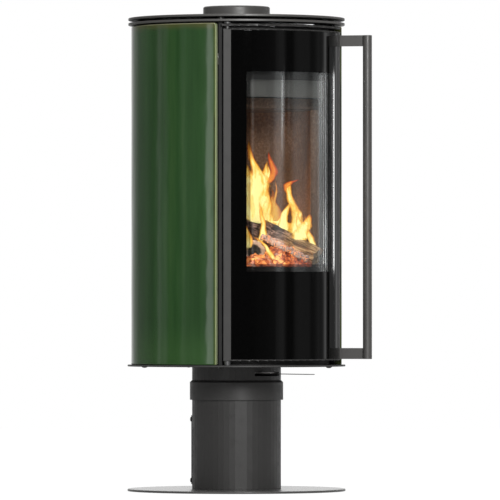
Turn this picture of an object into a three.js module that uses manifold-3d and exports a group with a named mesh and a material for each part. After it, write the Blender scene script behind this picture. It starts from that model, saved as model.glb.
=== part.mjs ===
// A round wood stove on a tubular pedestal: three tall glazed tiles and a curved glass door
// around a lined firebox, turning as a whole on its pedestal. Millimetres, +Z up.
// The origin is on the stove's axis at the floor, and the door faces -Y.

import * as THREE from 'three';
import { mergeVertices } from 'three/addons/utils/BufferGeometryUtils.js';
import Module from 'manifold-3d';

const wasm = await Module();
wasm.setup();

// Fits
const seatGap = 0.3; // between two pieces that rest on or against each other
const runningGap = 0.7; // round a piece that turns inside another
const sweepGap = 3; // round a piece that swings out through a slot

// Facets
const facetAngle = 5; // degrees of a wide arc to one facet
const narrowFacets = 48; // facets round a tube or ring of this radius or less
const narrowRadius = 150;
const pinFacets = 16; // facets round a pin, screw or bar

// Pedestal
const basePlateRadius = 245;
const basePlateThickness = 5;
const basePlateEdge = 1.5;
const tubeRadius = 100;
const tubeWall = 3;
const tubeShownHeight = 200; // from the base plate up to the swivel collar
const accessHalfAngle = 45;
const accessLow = 35;
const accessHigh = 150;
const coverMargin = 20; // the cover laps over the access opening all round
const coverThickness = 1.5;
const coverScrewInset = 9;
const screwHeadRadius = 5.5;
const screwHeadHeight = 3;

// Swivel between the pedestal and the stove
const collarWall = 4.3;
const collarHeight = 44;
const collarFlange = 5;
const collarChamfer = 4.6;
const glideThickness = 3;
const bearingThickness = 4;
const bearingWidth = 16;
const sleeveWall = 4;
const sleeveLip = 10; // the sleeve's lower lip hooks under the bearing seat
const sleeveLipThickness = 4;
const sleeveFlangeThickness = 3;

// Neck and air control
const neckHeight = 30.7;
const leverSlotLow = 9.5; // above the foot of the neck
const leverSlotHeight = 8.7;
const leverSlotFrom = -11.5; // degrees from the front
const leverSlotTo = 36.5;
const leverWidth = 20;
const leverThickness = 1.5;
const leverInnerEnd = 45;
const leverTip = 289;
const leverAboveSlotFoot = 4.7;
const shutterThickness = 1.5;
const shutterRim = 5; // the shutter stays this far inside the neck
const portPlateThickness = 2;
const portInnerRadius = 52;
const portOuterRadius = 80;
const portCount = 5;
const portHalfAngle = 14;
const shutterPivotRadius = 4;
const shutterPivotHead = 8;
const shutterPivotHeadThickness = 2.2;

// Body
const bodyRadius = 237.4; // outer face of tiles and door
const bottomPlateOverhang = 7.6;
const bottomPlateThickness = 4;
const plateEdge = 0.8;
const ductRadius = 60;
const ductWall = 3;
const tileCornerAngle = 2.1; // from a corner line to the tile's end
const doorCornerAngle = 2.2; // from a front corner line to the door's edge
const tileThickness = 26.4;
const tileEdge = 3;
const tileHeadroom = 3.5;
const postNoseRecess = 14.4; // the post's face lies this far behind the tiles
const postNoseHalfWidth = 4;
const postFlangeHalfAngle = 6.5;
const postFlangeThickness = 5;
const hoopThickness = 1.3;
const hoopHeight = 25;
const hoopBelowTop = 70;
const boltInset = 27.4; // from the body's face to the middle of a bottom bolt
const boltHeadRadius = 7;
const boltHeadHeight = 3.6;
const boltShankRadius = 3;
const neckScrewOffset = 8; // outside the neck
const neckScrewCount = 3;

// Top
const topPlateOverhang = 6.1;
const railGap = 6; // door to cross rail
const railThickness = 5;
const ringGap = 5.5; // cross rail to ring
const ringThickness = 5;
const ringWidth = 59.5;
const topGap = 6; // ring to top plate
const topPlateThickness = 5;
const spacerRadius = 8;
const spacerInset = 22.4; // from the body's face to the middle of a spacer
const flueRadius = 75;
const flueWall = 6.5;
const flueHeight = 26.5; // above the top plate
const flueLip = 4;
const flueFootRadius = 88;
const flueFootThickness = 4;

// Door
const doorFootGap = 10; // bottom plate to door
const doorHeight = 736;
const doorDepth = 16.4;
const stileAngle = 4; // width of the upright frame bars, as an angle
const doorRim = 3; // width of the top and bottom frame edges
const webThickness = 3;
const outerGlassThickness = 5;
const outerGlassInset = 0.4;
const windowHalfAngle = 31.2;
const windowSill = 15; // above the foot of the firebox
const windowTop = 20; // below the head of the firebox
const innerGlassThickness = 4.5;
const innerGlassLap = 15; // the inner pane is this much larger than the window
const retainerThickness = 2.3;
const ropeDepth = 8.3;
const ropeWidth = 9;
const ropeOutsideWindow = 16;
const pinRadius = 4;
const pinReach = 16; // into the door
const pinShoulderRadius = 7;
const pinHeadRadius = 8;
const pinHeadThickness = 3.5;

// Handle
const handleBarRadius = 10.2;
const handleReach = 63.9; // from the door's face to the middle of the bar
const handleEndInset = 3; // above the foot of the door
const handleTopInset = 7.8; // below the head of the door
const handleArmHeight = 24.5;
const handleArmThickness = 8;
const handleBarEdge = 0.8;

// Front frame and firebox
const frontFrameThickness = 3;
const frontFrameEndGap = 1.3; // to the nose of a front post
const fireOpeningHalfAngle = 33.5;
const fireOpeningSill = 12; // above the foot of the firebox
const fireOpeningTop = 15; // below the head of the firebox
const ashOpeningHalfAngle = 34;
const ashOpeningLow = 94;
const ashOpeningHigh = 168;
const shellWall = 3;
const shellBehindPosts = 5.1;
const shellCheekAngle = 36;
const shellLow = 176; // above the foot of the door
const shellDrop = 70; // from the head of the door down to the head of the firebox
const hearthThickness = 17;
const grateRadius = 75;
const grateThickness = 12;
const grateSlotCount = 7;
const grateSlotWidth = 8;
const gratePitch = 16;
const ashHoleRadius = 62;
const liningThickness = 26.7;
const liningFrontAngle = 44;
const liningJointAngle = 126;
const guardHeight = 12.7;
const guardThickness = 4;
const guardBehindFrame = 7;
const baffleThickness = 25;
const baffleDrop = 104; // from the head of the firebox down to the foot of the lower baffle
const baffleThroat = 90; // gap left in front of the lower baffle
const upperBaffleThickness = 3;
const upperBaffleAbove = 32; // above the lower baffle
const upperBaffleThroat = 85;
const baffleLedgeWidth = 8;
const baffleLedgeFrom = 60;
const baffleLedgeTo = 100;
const deflectorThickness = 2.5;
const deflectorDrop = 65; // below the head of the fire opening
const deflectorLap = 8; // behind the front frame

// Ash space
const shelfThickness = 3;
const runnerHeight = 6;
const runnerWidth = 10;
const runnerFromMiddle = 70; // air passes between the runners under the pan
const runnerLength = 190;
const panClearBelowOpening = 1; // the shelf lies this far below the ash opening
const panHalfWidth = 105;
const panFrontInset = 44; // behind the front frame, on the centre line
const panLength = 220;
const panHeight = 66;
const panWall = 1.5;
const panLipReach = 12;
const panLipHalfWidth = 30;
const panLipThickness = 3;

// Door catch
const catchDrop = 30; // from the head of the door down to the middle of the catch
const catchHeight = 20;
const tongueThickness = 6;
const tongueAngle = 33.75; // of the side that runs past the roller, at the front frame
const tongueTipDepth = 24; // behind the outer face of the front frame
const rollerRadius = 6;
const rollerAxleRadius = 2;
const rollerPlay = 0.5;
const rollerEarThickness = 4;
const rollerFromTip = 8;
const bracketFromAngle = 26;
const bracketToAngle = 31.6;
const bracketThickness = 3;

// Heights worked out from the sizes above
const collarLow = basePlateThickness + tubeShownHeight;
const collarHigh = collarLow + collarHeight;
const neckLow = collarHigh + seatGap;
const bottomPlateLow = neckLow + neckHeight;
const bottomPlateHigh = bottomPlateLow + bottomPlateThickness;
const doorLow = bottomPlateHigh + doorFootGap;
const doorHigh = doorLow + doorHeight;
const railLow = doorHigh + railGap;
const railHigh = railLow + railThickness;
const ringLow = railHigh + ringGap;
const ringHigh = ringLow + ringThickness;
const topPlateLow = ringHigh + topGap;
const topPlateHigh = topPlateLow + topPlateThickness;
const flueHigh = topPlateHigh + flueHeight;
const shellFoot = doorLow + shellLow;
const shellHead = doorHigh - shellDrop;
const hearthLow = shellFoot + shellWall + seatGap;
const hearthHigh = hearthLow + hearthThickness;
const liningLow = hearthHigh + seatGap;
const baffleLow = shellHead - baffleDrop;
const liningHigh = baffleLow - seatGap;
const upperBaffleLow = baffleLow + baffleThickness + upperBaffleAbove;
const shelfHigh = doorLow + ashOpeningLow - panClearBelowOpening;
const fireOpeningLow = shellFoot + fireOpeningSill;
const fireOpeningHigh = shellHead - fireOpeningTop;
const windowLow = shellFoot + windowSill;
const windowHigh = shellHead - windowTop;
const catchLow = doorHigh - catchDrop - catchHeight / 2;
const catchHigh = catchLow + catchHeight;
const slotFoot = neckLow + leverSlotLow;
const leverLow = slotFoot + leverAboveSlotFoot;
const shutterLow = leverLow + leverThickness + seatGap;
const portPlateLow = shutterLow + shutterThickness + runningGap;

// Radii worked out from the sizes above
const tubeBore = tubeRadius - tubeWall;
const collarBore = tubeRadius + runningGap;
const bearingBore = tubeRadius - bearingWidth;
const sleeveRadius = bearingBore - 2 * runningGap;
const sleeveBore = sleeveRadius - sleeveWall;
const bottomPlateRadius = bodyRadius + bottomPlateOverhang;
const topPlateRadius = bodyRadius + topPlateOverhang;
const boltCircle = bodyRadius - boltInset;
const spacerCircle = bodyRadius - spacerInset;
const tileInner = bodyRadius - tileThickness;
const doorInner = bodyRadius - doorDepth;
const glassOuter = bodyRadius - outerGlassInset;
const glassInner = glassOuter - outerGlassThickness;
const webOuter = glassInner - seatGap;
const webInner = webOuter - webThickness;
const innerGlassOuter = webInner - seatGap;
const innerGlassInner = innerGlassOuter - innerGlassThickness;
const retainerOuter = innerGlassInner - seatGap;
const retainerInner = retainerOuter - retainerThickness;
const ropeOuter = retainerInner - seatGap;
const ropeInner = ropeOuter - ropeDepth;
const frameOuter = ropeInner - seatGap;
const frameInner = frameOuter - frontFrameThickness;
const postFlangeOuter = Math.min(frameInner - seatGap, tileInner - hoopThickness - 2 * seatGap);
const postFlangeInner = postFlangeOuter - postFlangeThickness;
const shelfRadius = postFlangeInner - seatGap;
const shellFront = frameInner - seatGap;
const shellRadius = postFlangeInner - shellBehindPosts;
const shellBore = shellRadius - shellWall;
const liningOuter = shellBore - seatGap;
const liningInner = liningOuter - liningThickness;
const ductBore = ductRadius - ductWall;
const ringInner = topPlateRadius - ringWidth;

// Angles worked out from the sizes above
const cornerAngle = 45;
const doorHalfAngle = cornerAngle - doorCornerAngle;
const tileHalfAngle = cornerAngle - tileCornerAngle;
const stileInnerAngle = doorHalfAngle - stileAngle;
const stileMiddleAngle = doorHalfAngle - stileAngle / 2;
const hingeRadius = bodyRadius - doorDepth / 2;

// The catch, worked out from the front frame
const tongueSide = frameOuter * Math.sin((tongueAngle * Math.PI) / 180);
const tongueTip = tongueTipDepth - frameOuter * Math.cos((tongueAngle * Math.PI) / 180);
const rollerX = tongueSide - rollerPlay - rollerRadius;
const rollerY = tongueTip - rollerFromTip;

const toRadians = Math.PI / 180;

// The angle that a length takes up on a circle, in degrees.
const angleOf = (length, radius) => length / radius / toRadians;

// Plan angles are read from the front of the stove: 0 at -Y, growing towards +X.
const planAngle = (degrees) => (degrees - 90) * toRadians;

function planPoint(radius, degrees) {
  return new THREE.Vector2(Math.cos(planAngle(degrees)), Math.sin(planAngle(degrees))).multiplyScalar(radius);
}

// A closed mesh as a solid, with its shared vertices merged.
function solidOf(geometry) {
  const bare = geometry.clone();
  bare.deleteAttribute('normal');
  bare.deleteAttribute('uv');
  const merged = mergeVertices(bare, 1e-4);
  return new wasm.Manifold(
    new wasm.Mesh({
      numProp: 3,
      vertProperties: merged.attributes.position.array,
      triVerts: merged.index.array,
    }),
  );
}

function geometryOf(solid) {
  const mesh = solid.getMesh();
  const geometry = new THREE.BufferGeometry();
  geometry.setAttribute('position', new THREE.BufferAttribute(mesh.vertProperties, 3));
  geometry.setIndex(new THREE.BufferAttribute(mesh.triVerts, 1));
  return geometry;
}

function join(...geometries) {
  return geometryOf(geometries.map(solidOf).reduce((whole, piece) => whole.add(piece)));
}

function cut(geometry, ...tools) {
  return geometryOf(tools.map(solidOf).reduce((whole, tool) => whole.subtract(tool), solidOf(geometry)));
}

function common(geometry, other) {
  return geometryOf(solidOf(geometry).intersect(solidOf(other)));
}

function facetsFor(radius) {
  return radius > narrowRadius ? Math.round(360 / facetAngle) : narrowFacets;
}

// A body turned about the stove's axis. The profile runs outwards, up and back in,
// as [radius, height] pairs, and it closes on itself unless it ends on the axis.
function turned(profile, facets = facetsFor(Math.max(...profile.map(([radius]) => radius)))) {
  const points = profile.map(([radius, height]) => new THREE.Vector2(radius, height));
  if (points[0].x > 0) points.push(points[0].clone());
  return new THREE.LatheGeometry(points, facets).rotateX(Math.PI / 2);
}

function ring(inner, outer, low, high, facets) {
  return turned([[inner, low], [outer, low], [outer, high], [inner, high]], facets);
}

// A ring cut from plate, with its outer edges broken.
function plateRing(inner, outer, low, high) {
  return turned([
    [inner, low],
    [outer - plateEdge, low],
    [outer, low + plateEdge],
    [outer, high - plateEdge],
    [outer - plateEdge, high],
    [inner, high],
  ]);
}

function drum(radius, low, high, facets = facetsFor(radius)) {
  return new THREE.CylinderGeometry(radius, radius, high - low, facets)
    .rotateX(Math.PI / 2)
    .translate(0, 0, (low + high) / 2);
}

function block(fromX, toX, fromY, toY, low, high) {
  return new THREE.BoxGeometry(toX - fromX, toY - fromY, high - low)
    .translate((fromX + toX) / 2, (fromY + toY) / 2, (low + high) / 2);
}

// An upright wall that follows an arc about the stove's axis.
function band(inner, outer, from, to, low, high) {
  const outline = new THREE.Shape();
  outline.absarc(0, 0, outer, planAngle(from), planAngle(to), false);
  outline.absarc(0, 0, inner, planAngle(to), planAngle(from), true);
  outline.closePath();
  return new THREE.ExtrudeGeometry(outline, {
    depth: high - low,
    bevelEnabled: false,
    curveSegments: Math.max(1, Math.ceil((to - from) / facetAngle / 2)),
  }).translate(0, 0, low);
}

// The plan of the firebox: a drum whose front is drawn forward to the front frame.
function fireboxBody(radius, cheekAngle, front, low, high) {
  return join(drum(radius, low, high), band(radius / 2, front, -cheekAngle, cheekAngle, low, high));
}

// A domed screw head whose flat side is at height 0 and whose dome points up.
function domedHead(radius, height) {
  return turned(
    [[0, -0.5], [radius, -0.5], [radius, 0.25 * height], [0.72 * radius, 0.8 * height], [0, height]],
    pinFacets / 2,
  );
}

const darkPaint = new THREE.MeshStandardMaterial({ color: 0x3d3b39, roughness: 0.55, metalness: 0.3 });
const plainSteel = new THREE.MeshStandardMaterial({ color: 0x8d8d8b, roughness: 0.4, metalness: 0.9 });
const greenGlaze = new THREE.MeshStandardMaterial({ color: 0x2c4a2a, roughness: 0.12, metalness: 0 });
const blackGlass = new THREE.MeshStandardMaterial({ color: 0x101010, roughness: 0.05, metalness: 0 });
const clearGlass = new THREE.MeshStandardMaterial({ color: 0xdfe4e2, roughness: 0.03, metalness: 0 });
const fireBrick = new THREE.MeshStandardMaterial({ color: 0x8a6f5c, roughness: 0.95, metalness: 0 });
const castIron = new THREE.MeshStandardMaterial({ color: 0x2b2a29, roughness: 0.8, metalness: 0.6 });
const ropeFibre = new THREE.MeshStandardMaterial({ color: 0x6b6862, roughness: 1, metalness: 0 });
const glidePlastic = new THREE.MeshStandardMaterial({ color: 0x55524c, roughness: 0.5, metalness: 0 });

function piece(name, geometry, material) {
  const mesh = new THREE.Mesh(geometry, material);
  mesh.name = name;
  return mesh;
}

// The fixed foot: floor plate, tube with its rear access opening and cover, and the bearing.
function pedestal() {
  const group = new THREE.Group();
  const bearingLow = collarHigh - collarFlange - glideThickness - bearingThickness - 2 * seatGap;
  const bearingHigh = bearingLow + bearingThickness;
  const glideLow = bearingHigh + seatGap;

  const basePlate = turned([
    [0, 0],
    [basePlateRadius, 0],
    [basePlateRadius, basePlateThickness - basePlateEdge],
    [basePlateRadius - basePlateEdge, basePlateThickness],
    [0, basePlateThickness],
  ]);

  const tubeLow = basePlateThickness + seatGap;
  const access = band(
    tubeBore - tubeWall,
    tubeRadius + tubeWall,
    180 - accessHalfAngle,
    180 + accessHalfAngle,
    accessLow,
    accessHigh,
  );
  const tube = cut(ring(tubeBore, tubeRadius, tubeLow, bearingLow - seatGap), access);

  const coverInner = tubeRadius + seatGap;
  const coverOuter = coverInner + coverThickness;
  const coverHalfAngle = accessHalfAngle + angleOf(coverMargin, tubeRadius);
  const coverLow = accessLow - coverMargin;
  const coverHigh = accessHigh + coverMargin;
  const sheet = band(coverInner, coverOuter, 180 - coverHalfAngle, 180 + coverHalfAngle, coverLow, coverHigh);
  const screwAngle = coverHalfAngle - angleOf(coverScrewInset, coverOuter);
  const screws = [];
  for (const side of [-1, 1]) {
    for (const height of [coverLow + coverScrewInset, coverHigh - coverScrewInset]) {
      const at = planPoint(coverOuter - 0.2, 180 + side * screwAngle);
      const head = domedHead(screwHeadRadius, screwHeadHeight);
      head.rotateX(Math.PI / 2);
      head.rotateZ((180 + side * screwAngle) * toRadians);
      screws.push(head.translate(at.x, at.y, height));
    }
  }

  group.add(
    piece('base_plate', basePlate, darkPaint),
    piece('pedestal_tube', tube, darkPaint),
    piece('rear_access_cover', join(sheet, ...screws), darkPaint),
    piece('bearing_seat', ring(bearingBore, tubeRadius, bearingLow, bearingHigh), plainSteel),
    piece(
      'glide_ring',
      ring(bearingBore + runningGap, tubeRadius - runningGap, glideLow, glideLow + glideThickness),
      glidePlastic,
    ),
  );
  return group;
}

// The turning side of the swivel: a collar over the tube and a sleeve hooked under its bearing.
function swivel() {
  const group = new THREE.Group();
  const collarRadius = collarBore + collarWall;
  const flangeLow = collarHigh - collarFlange;
  const sleeveLow = flangeLow - glideThickness - bearingThickness - 2 * seatGap - runningGap - sleeveLipThickness;
  const flangeRadius = tubeBore - 2 * seatGap;

  const collar = turned([
    [collarBore, collarLow],
    [collarRadius, collarLow],
    [collarRadius, collarHigh - collarChamfer],
    [collarRadius - collarChamfer, collarHigh],
    [sleeveRadius + seatGap, collarHigh],
    [sleeveRadius + seatGap, flangeLow],
    [collarBore, flangeLow],
  ]);
  const sleeve = turned([
    [sleeveBore, sleeveLow],
    [sleeveRadius + sleeveLip, sleeveLow],
    [sleeveRadius + sleeveLip, sleeveLow + sleeveLipThickness],
    [sleeveRadius, sleeveLow + sleeveLipThickness],
    [sleeveRadius, neckLow],
    [flangeRadius, neckLow],
    [flangeRadius, neckLow + sleeveFlangeThickness],
    [sleeveBore, neckLow + sleeveFlangeThickness],
  ]);

  group.add(piece('swivel_collar', collar, darkPaint), piece('retaining_sleeve', sleeve, plainSteel));
  return group;
}

// The sector-shaped holes that the air plate and its shutter share.
function airPorts(low, high) {
  const ports = [];
  for (let port = 0; port < portCount; port++) {
    const middle = 180 / portCount + (port * 360) / portCount;
    ports.push(band(portInnerRadius, portOuterRadius, middle - portHalfAngle, middle + portHalfAngle, low, high));
  }
  return ports;
}

// The neck between the swivel and the body, with the fixed air plate inside it.
function neck() {
  const group = new THREE.Group();
  const slot = band(
    tubeBore - tubeWall,
    tubeRadius + tubeWall,
    leverSlotFrom,
    leverSlotTo,
    slotFoot,
    slotFoot + leverSlotHeight,
  );
  const tube = cut(ring(tubeBore, tubeRadius, neckLow, bottomPlateLow - seatGap), slot);

  const plateHigh = portPlateLow + portPlateThickness;
  const headHigh = shutterLow - seatGap;
  const pivot = turned(
    [
      [0, headHigh - shutterPivotHeadThickness],
      [shutterPivotHead, headHigh - shutterPivotHeadThickness],
      [shutterPivotHead, headHigh],
      [shutterPivotRadius, headHigh],
      [shutterPivotRadius, plateHigh],
      [0, plateHigh],
    ],
    pinFacets,
  );
  const plate = cut(drum(tubeBore - seatGap, portPlateLow, plateHigh), ...airPorts(portPlateLow - 1, plateHigh + 1));

  group.add(piece('neck_tube', tube, darkPaint), piece('air_port_plate', join(plate, pivot), plainSteel));
  return group;
}

// The rotary shutter under the air plate and the flat lever that turns it.
function airControl() {
  const group = new THREE.Group();
  const shutterHigh = shutterLow + shutterThickness;
  const shutter = cut(
    drum(tubeBore - shutterRim, shutterLow, shutterHigh),
    drum(shutterPivotRadius + runningGap, shutterLow - 1, shutterHigh + 1, pinFacets),
    ...airPorts(shutterLow - 1, shutterHigh + 1),
  );

  const half = leverWidth / 2;
  const blade = new THREE.Shape();
  blade.moveTo(-half, -leverInnerEnd);
  blade.lineTo(-half, half - leverTip);
  blade.absarc(0, half - leverTip, half, Math.PI, 2 * Math.PI, false);
  blade.lineTo(half, -leverInnerEnd);
  blade.closePath();
  const lever = new THREE.ExtrudeGeometry(blade, { depth: leverThickness, bevelEnabled: false, curveSegments: 6 });

  group.add(
    piece('air_shutter', shutter, plainSteel),
    piece('air_lever', lever.translate(0, 0, leverLow), darkPaint),
  );
  return group;
}

// A corner post: a curved flange behind the tiles with a narrow nose in the gap between them.
// It is drawn at the front and turned to its corner.
function cornerPost(hoopLow) {
  const low = bottomPlateHigh + seatGap;
  const high = ringLow - seatGap;
  const nose = bodyRadius - postNoseRecess;
  const flange = band(postFlangeInner, postFlangeOuter, -postFlangeHalfAngle, postFlangeHalfAngle, low, high);
  const body = join(
    flange,
    block(-postNoseHalfWidth, postNoseHalfWidth, -nose, -(postFlangeInner + postFlangeThickness / 2), low, high),
  );
  if (hoopLow === undefined) return body;
  const notch = band(
    postFlangeOuter,
    tileInner + seatGap,
    -postFlangeHalfAngle,
    postFlangeHalfAngle,
    hoopLow - seatGap,
    hoopLow + hoopHeight + seatGap,
  );
  return cut(body, notch);
}

// A tall curved tile with broken edges, drawn at the front and turned to its side.
function wallTile() {
  const low = bottomPlateHigh + seatGap;
  const high = ringLow - tileHeadroom;
  const outerEnd = tileHalfAngle - angleOf(tileEdge, bodyRadius);
  const innerEnd = tileHalfAngle - angleOf(tileEdge, tileInner);
  const corner = (radius, side) => planPoint(radius, side * tileHalfAngle);
  const outline = new THREE.Shape();
  outline.absarc(0, 0, bodyRadius, planAngle(-outerEnd), planAngle(outerEnd), false);
  outline.lineTo(corner(bodyRadius - tileEdge, 1).x, corner(bodyRadius - tileEdge, 1).y);
  outline.lineTo(corner(tileInner + tileEdge, 1).x, corner(tileInner + tileEdge, 1).y);
  outline.absarc(0, 0, tileInner, planAngle(innerEnd), planAngle(-innerEnd), true);
  outline.lineTo(corner(tileInner + tileEdge, -1).x, corner(tileInner + tileEdge, -1).y);
  outline.lineTo(corner(bodyRadius - tileEdge, -1).x, corner(bodyRadius - tileEdge, -1).y);
  outline.closePath();
  return new THREE.ExtrudeGeometry(outline, {
    depth: high - low - 2 * tileEdge,
    bevelEnabled: true,
    bevelThickness: tileEdge,
    bevelSize: tileEdge,
    bevelOffset: -tileEdge,
    bevelSegments: 1,
    curveSegments: Math.ceil(tileHalfAngle / facetAngle),
  }).translate(0, 0, low + tileEdge);
}

// Bottom plate, corner posts, tiles and the hoop that the tiles hang on.
function bodyShell() {
  const group = new THREE.Group();
  const corners = { front_left: -45, front_right: 45, rear_left: -135, rear_right: 135 };
  const sides = { left: -90, rear: 180, right: 90 };
  const hoopLow = ringLow - hoopBelowTop - hoopHeight;
  const hoopInner = postFlangeOuter + seatGap;
  const hoopEndAngle = cornerAngle + angleOf(postNoseHalfWidth + 2, hoopInner);

  const shankHoles = Object.values(corners).map((angle) => {
    const at = planPoint(boltCircle, angle);
    return drum(boltShankRadius + seatGap, bottomPlateLow - 1, bottomPlateHigh + 1, pinFacets / 2)
      .translate(at.x, at.y, 0);
  });
  const neckScrews = [];
  for (let screw = 0; screw < neckScrewCount; screw++) {
    const at = planPoint(tubeRadius + neckScrewOffset, (screw * 360) / neckScrewCount);
    const head = domedHead(screwHeadRadius, screwHeadHeight).rotateX(Math.PI);
    neckScrews.push(head.translate(at.x, at.y, bottomPlateLow + 0.2));
  }
  const plate = join(plateRing(ductBore, bottomPlateRadius, bottomPlateLow, bottomPlateHigh), ...neckScrews);
  group.add(piece('bottom_plate', cut(plate, ...shankHoles), darkPaint));

  const bolt = turned(
    [
      [0, bottomPlateLow - seatGap - boltHeadHeight],
      [0.6 * boltHeadRadius, bottomPlateLow - seatGap - 0.85 * boltHeadHeight],
      [boltHeadRadius, bottomPlateLow - seatGap - 0.3 * boltHeadHeight],
      [boltHeadRadius, bottomPlateLow - seatGap],
      [boltShankRadius, bottomPlateLow - seatGap],
      [boltShankRadius, bottomPlateHigh],
      [0, bottomPlateHigh],
    ],
    pinFacets / 2,
  );
  for (const [corner, angle] of Object.entries(corners)) {
    const atRear = Math.abs(angle) > 90;
    const post = piece('corner_post_' + corner, cornerPost(atRear ? hoopLow : undefined), darkPaint);
    post.rotation.z = angle * toRadians;
    const fastener = piece('bottom_bolt_' + corner, bolt, plainSteel);
    const at = planPoint(boltCircle, angle);
    fastener.position.set(at.x, at.y, 0);
    group.add(post, fastener);
  }

  for (const [side, angle] of Object.entries(sides)) {
    const tile = piece('tile_' + side, wallTile(), greenGlaze);
    tile.rotation.z = angle * toRadians;
    group.add(tile);
  }
  group.add(
    piece(
      'tile_hoop',
      band(hoopInner, hoopInner + hoopThickness, hoopEndAngle, 360 - hoopEndAngle, hoopLow, hoopLow + hoopHeight),
      plainSteel,
    ),
  );
  return group;
}

// The fixed curved frame behind the door, with the fire opening, the ash opening and the catch slot.
function frontFrame() {
  const endAngle = cornerAngle - angleOf(postNoseHalfWidth + frontFrameEndGap, frameInner);
  const past = frontFrameThickness;
  const opening = (halfAngle, low, high) =>
    band(frameInner - past, frameOuter + past, -halfAngle, halfAngle, low, high);
  return cut(
    band(frameInner, frameOuter, -endAngle, endAngle, bottomPlateHigh + seatGap, railLow - seatGap),
    opening(fireOpeningHalfAngle, fireOpeningLow, fireOpeningHigh),
    opening(ashOpeningHalfAngle, doorLow + ashOpeningLow, doorLow + ashOpeningHigh),
    block(
      tongueSide - sweepGap,
      tongueSide + tongueThickness + sweepGap,
      -frameOuter,
      -frameInner / 2,
      catchLow - sweepGap,
      catchHigh + sweepGap,
    ),
  );
}

// The rolled body of the firebox: an open-fronted drum with an ash hole in its floor
// and two ledges for the upper baffle.
function fireboxShell() {
  const bodyHigh = shellHead - shellWall - seatGap;
  const inside = fireboxBody(
    shellBore,
    shellCheekAngle - angleOf(shellWall, shellRadius),
    shellFront + shellWall,
    shellFoot + shellWall,
    bodyHigh + 1,
  );
  const ledgeHigh = upperBaffleLow - seatGap;
  const ledges = [-1, 1].map((side) =>
    band(
      shellBore - baffleLedgeWidth,
      shellBore + shellWall / 2,
      Math.min(side * baffleLedgeFrom, side * baffleLedgeTo),
      Math.max(side * baffleLedgeFrom, side * baffleLedgeTo),
      ledgeHigh - shellWall,
      ledgeHigh,
    ),
  );
  const hollow = cut(
    fireboxBody(shellRadius, shellCheekAngle, shellFront, shellFoot, bodyHigh),
    inside,
    drum(ashHoleRadius, shellFoot - 1, shellFoot + shellWall + 1),
  );
  return join(hollow, ...ledges);
}

// The sheet that closes the firebox above, with the flue hole in its middle.
function fireboxCrown() {
  const low = shellHead - shellWall;
  return cut(
    fireboxBody(shellRadius, shellCheekAngle, shellFront, low, shellHead),
    drum(flueRadius - flueWall, low - 1, shellHead + 1),
  );
}

function grate() {
  const high = hearthLow + grateThickness;
  const slotReach = ashHoleRadius - grateSlotWidth / 2;
  const slots = [];
  for (let slot = 0; slot < grateSlotCount; slot++) {
    const x = (slot - (grateSlotCount - 1) / 2) * gratePitch;
    const half = Math.sqrt(slotReach ** 2 - x ** 2);
    slots.push(block(x - grateSlotWidth / 2, x + grateSlotWidth / 2, -half, half, hearthLow - 1, high + 1));
  }
  return cut(drum(grateRadius, hearthLow, high), ...slots);
}

// Firebox with its hearth, grate, lining, log guard, baffles and air-wash deflector.
function firebox() {
  const group = new THREE.Group();
  const cheekInside = shellCheekAngle - angleOf(shellWall, shellRadius);
  const hearthCheek = cheekInside - angleOf(seatGap, shellRadius);
  const hearth = cut(
    fireboxBody(liningOuter, hearthCheek, shellFront - seatGap, hearthLow, hearthHigh),
    drum(grateRadius + seatGap, hearthLow - 1, hearthHigh + 1),
  );
  const joint = angleOf(seatGap / 2, liningInner);
  const lining = (from, to) => band(liningInner, liningOuter, from, to, liningLow, liningHigh);

  const guardOuter = frameInner - guardBehindFrame;
  const guard = band(
    guardOuter - guardThickness,
    guardOuter,
    1 - hearthCheek,
    hearthCheek - 1,
    liningLow,
    liningLow + guardHeight,
  );
  const far = 2 * shellRadius;
  const lowerBaffle = common(
    drum(liningOuter, baffleLow, baffleLow + baffleThickness),
    block(-far, far, baffleThroat - liningOuter, far, baffleLow - 1, baffleLow + baffleThickness + 1),
  );
  const upperBaffle = common(
    drum(liningOuter, upperBaffleLow, upperBaffleLow + upperBaffleThickness),
    block(-far, far, -far, liningOuter - upperBaffleThroat, upperBaffleLow - 1, upperBaffleLow + baffleThickness),
  );
  const deflectorOuter = frameInner - seatGap;

  group.add(
    piece('front_frame', frontFrame(), darkPaint),
    piece('firebox_shell', fireboxShell(), darkPaint),
    piece('firebox_crown', fireboxCrown(), darkPaint),
    piece('hearth_floor', hearth, fireBrick),
    piece('grate', grate(), castIron),
    piece('lining_right', lining(liningFrontAngle, liningJointAngle - joint), fireBrick),
    piece('lining_rear', lining(liningJointAngle + joint, 360 - liningJointAngle - joint), fireBrick),
    piece('lining_left', lining(360 - liningJointAngle + joint, 360 - liningFrontAngle), fireBrick),
    piece('log_guard', guard, castIron),
    piece('baffle_lower', lowerBaffle, fireBrick),
    piece('baffle_upper', upperBaffle, plainSteel),
    piece(
      'air_wash_deflector',
      band(
        deflectorOuter - deflectorThickness,
        deflectorOuter,
        -hearthCheek,
        hearthCheek,
        fireOpeningHigh - deflectorDrop,
        fireOpeningHigh + deflectorLap,
      ),
      plainSteel,
    ),
  );
  return group;
}

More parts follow.
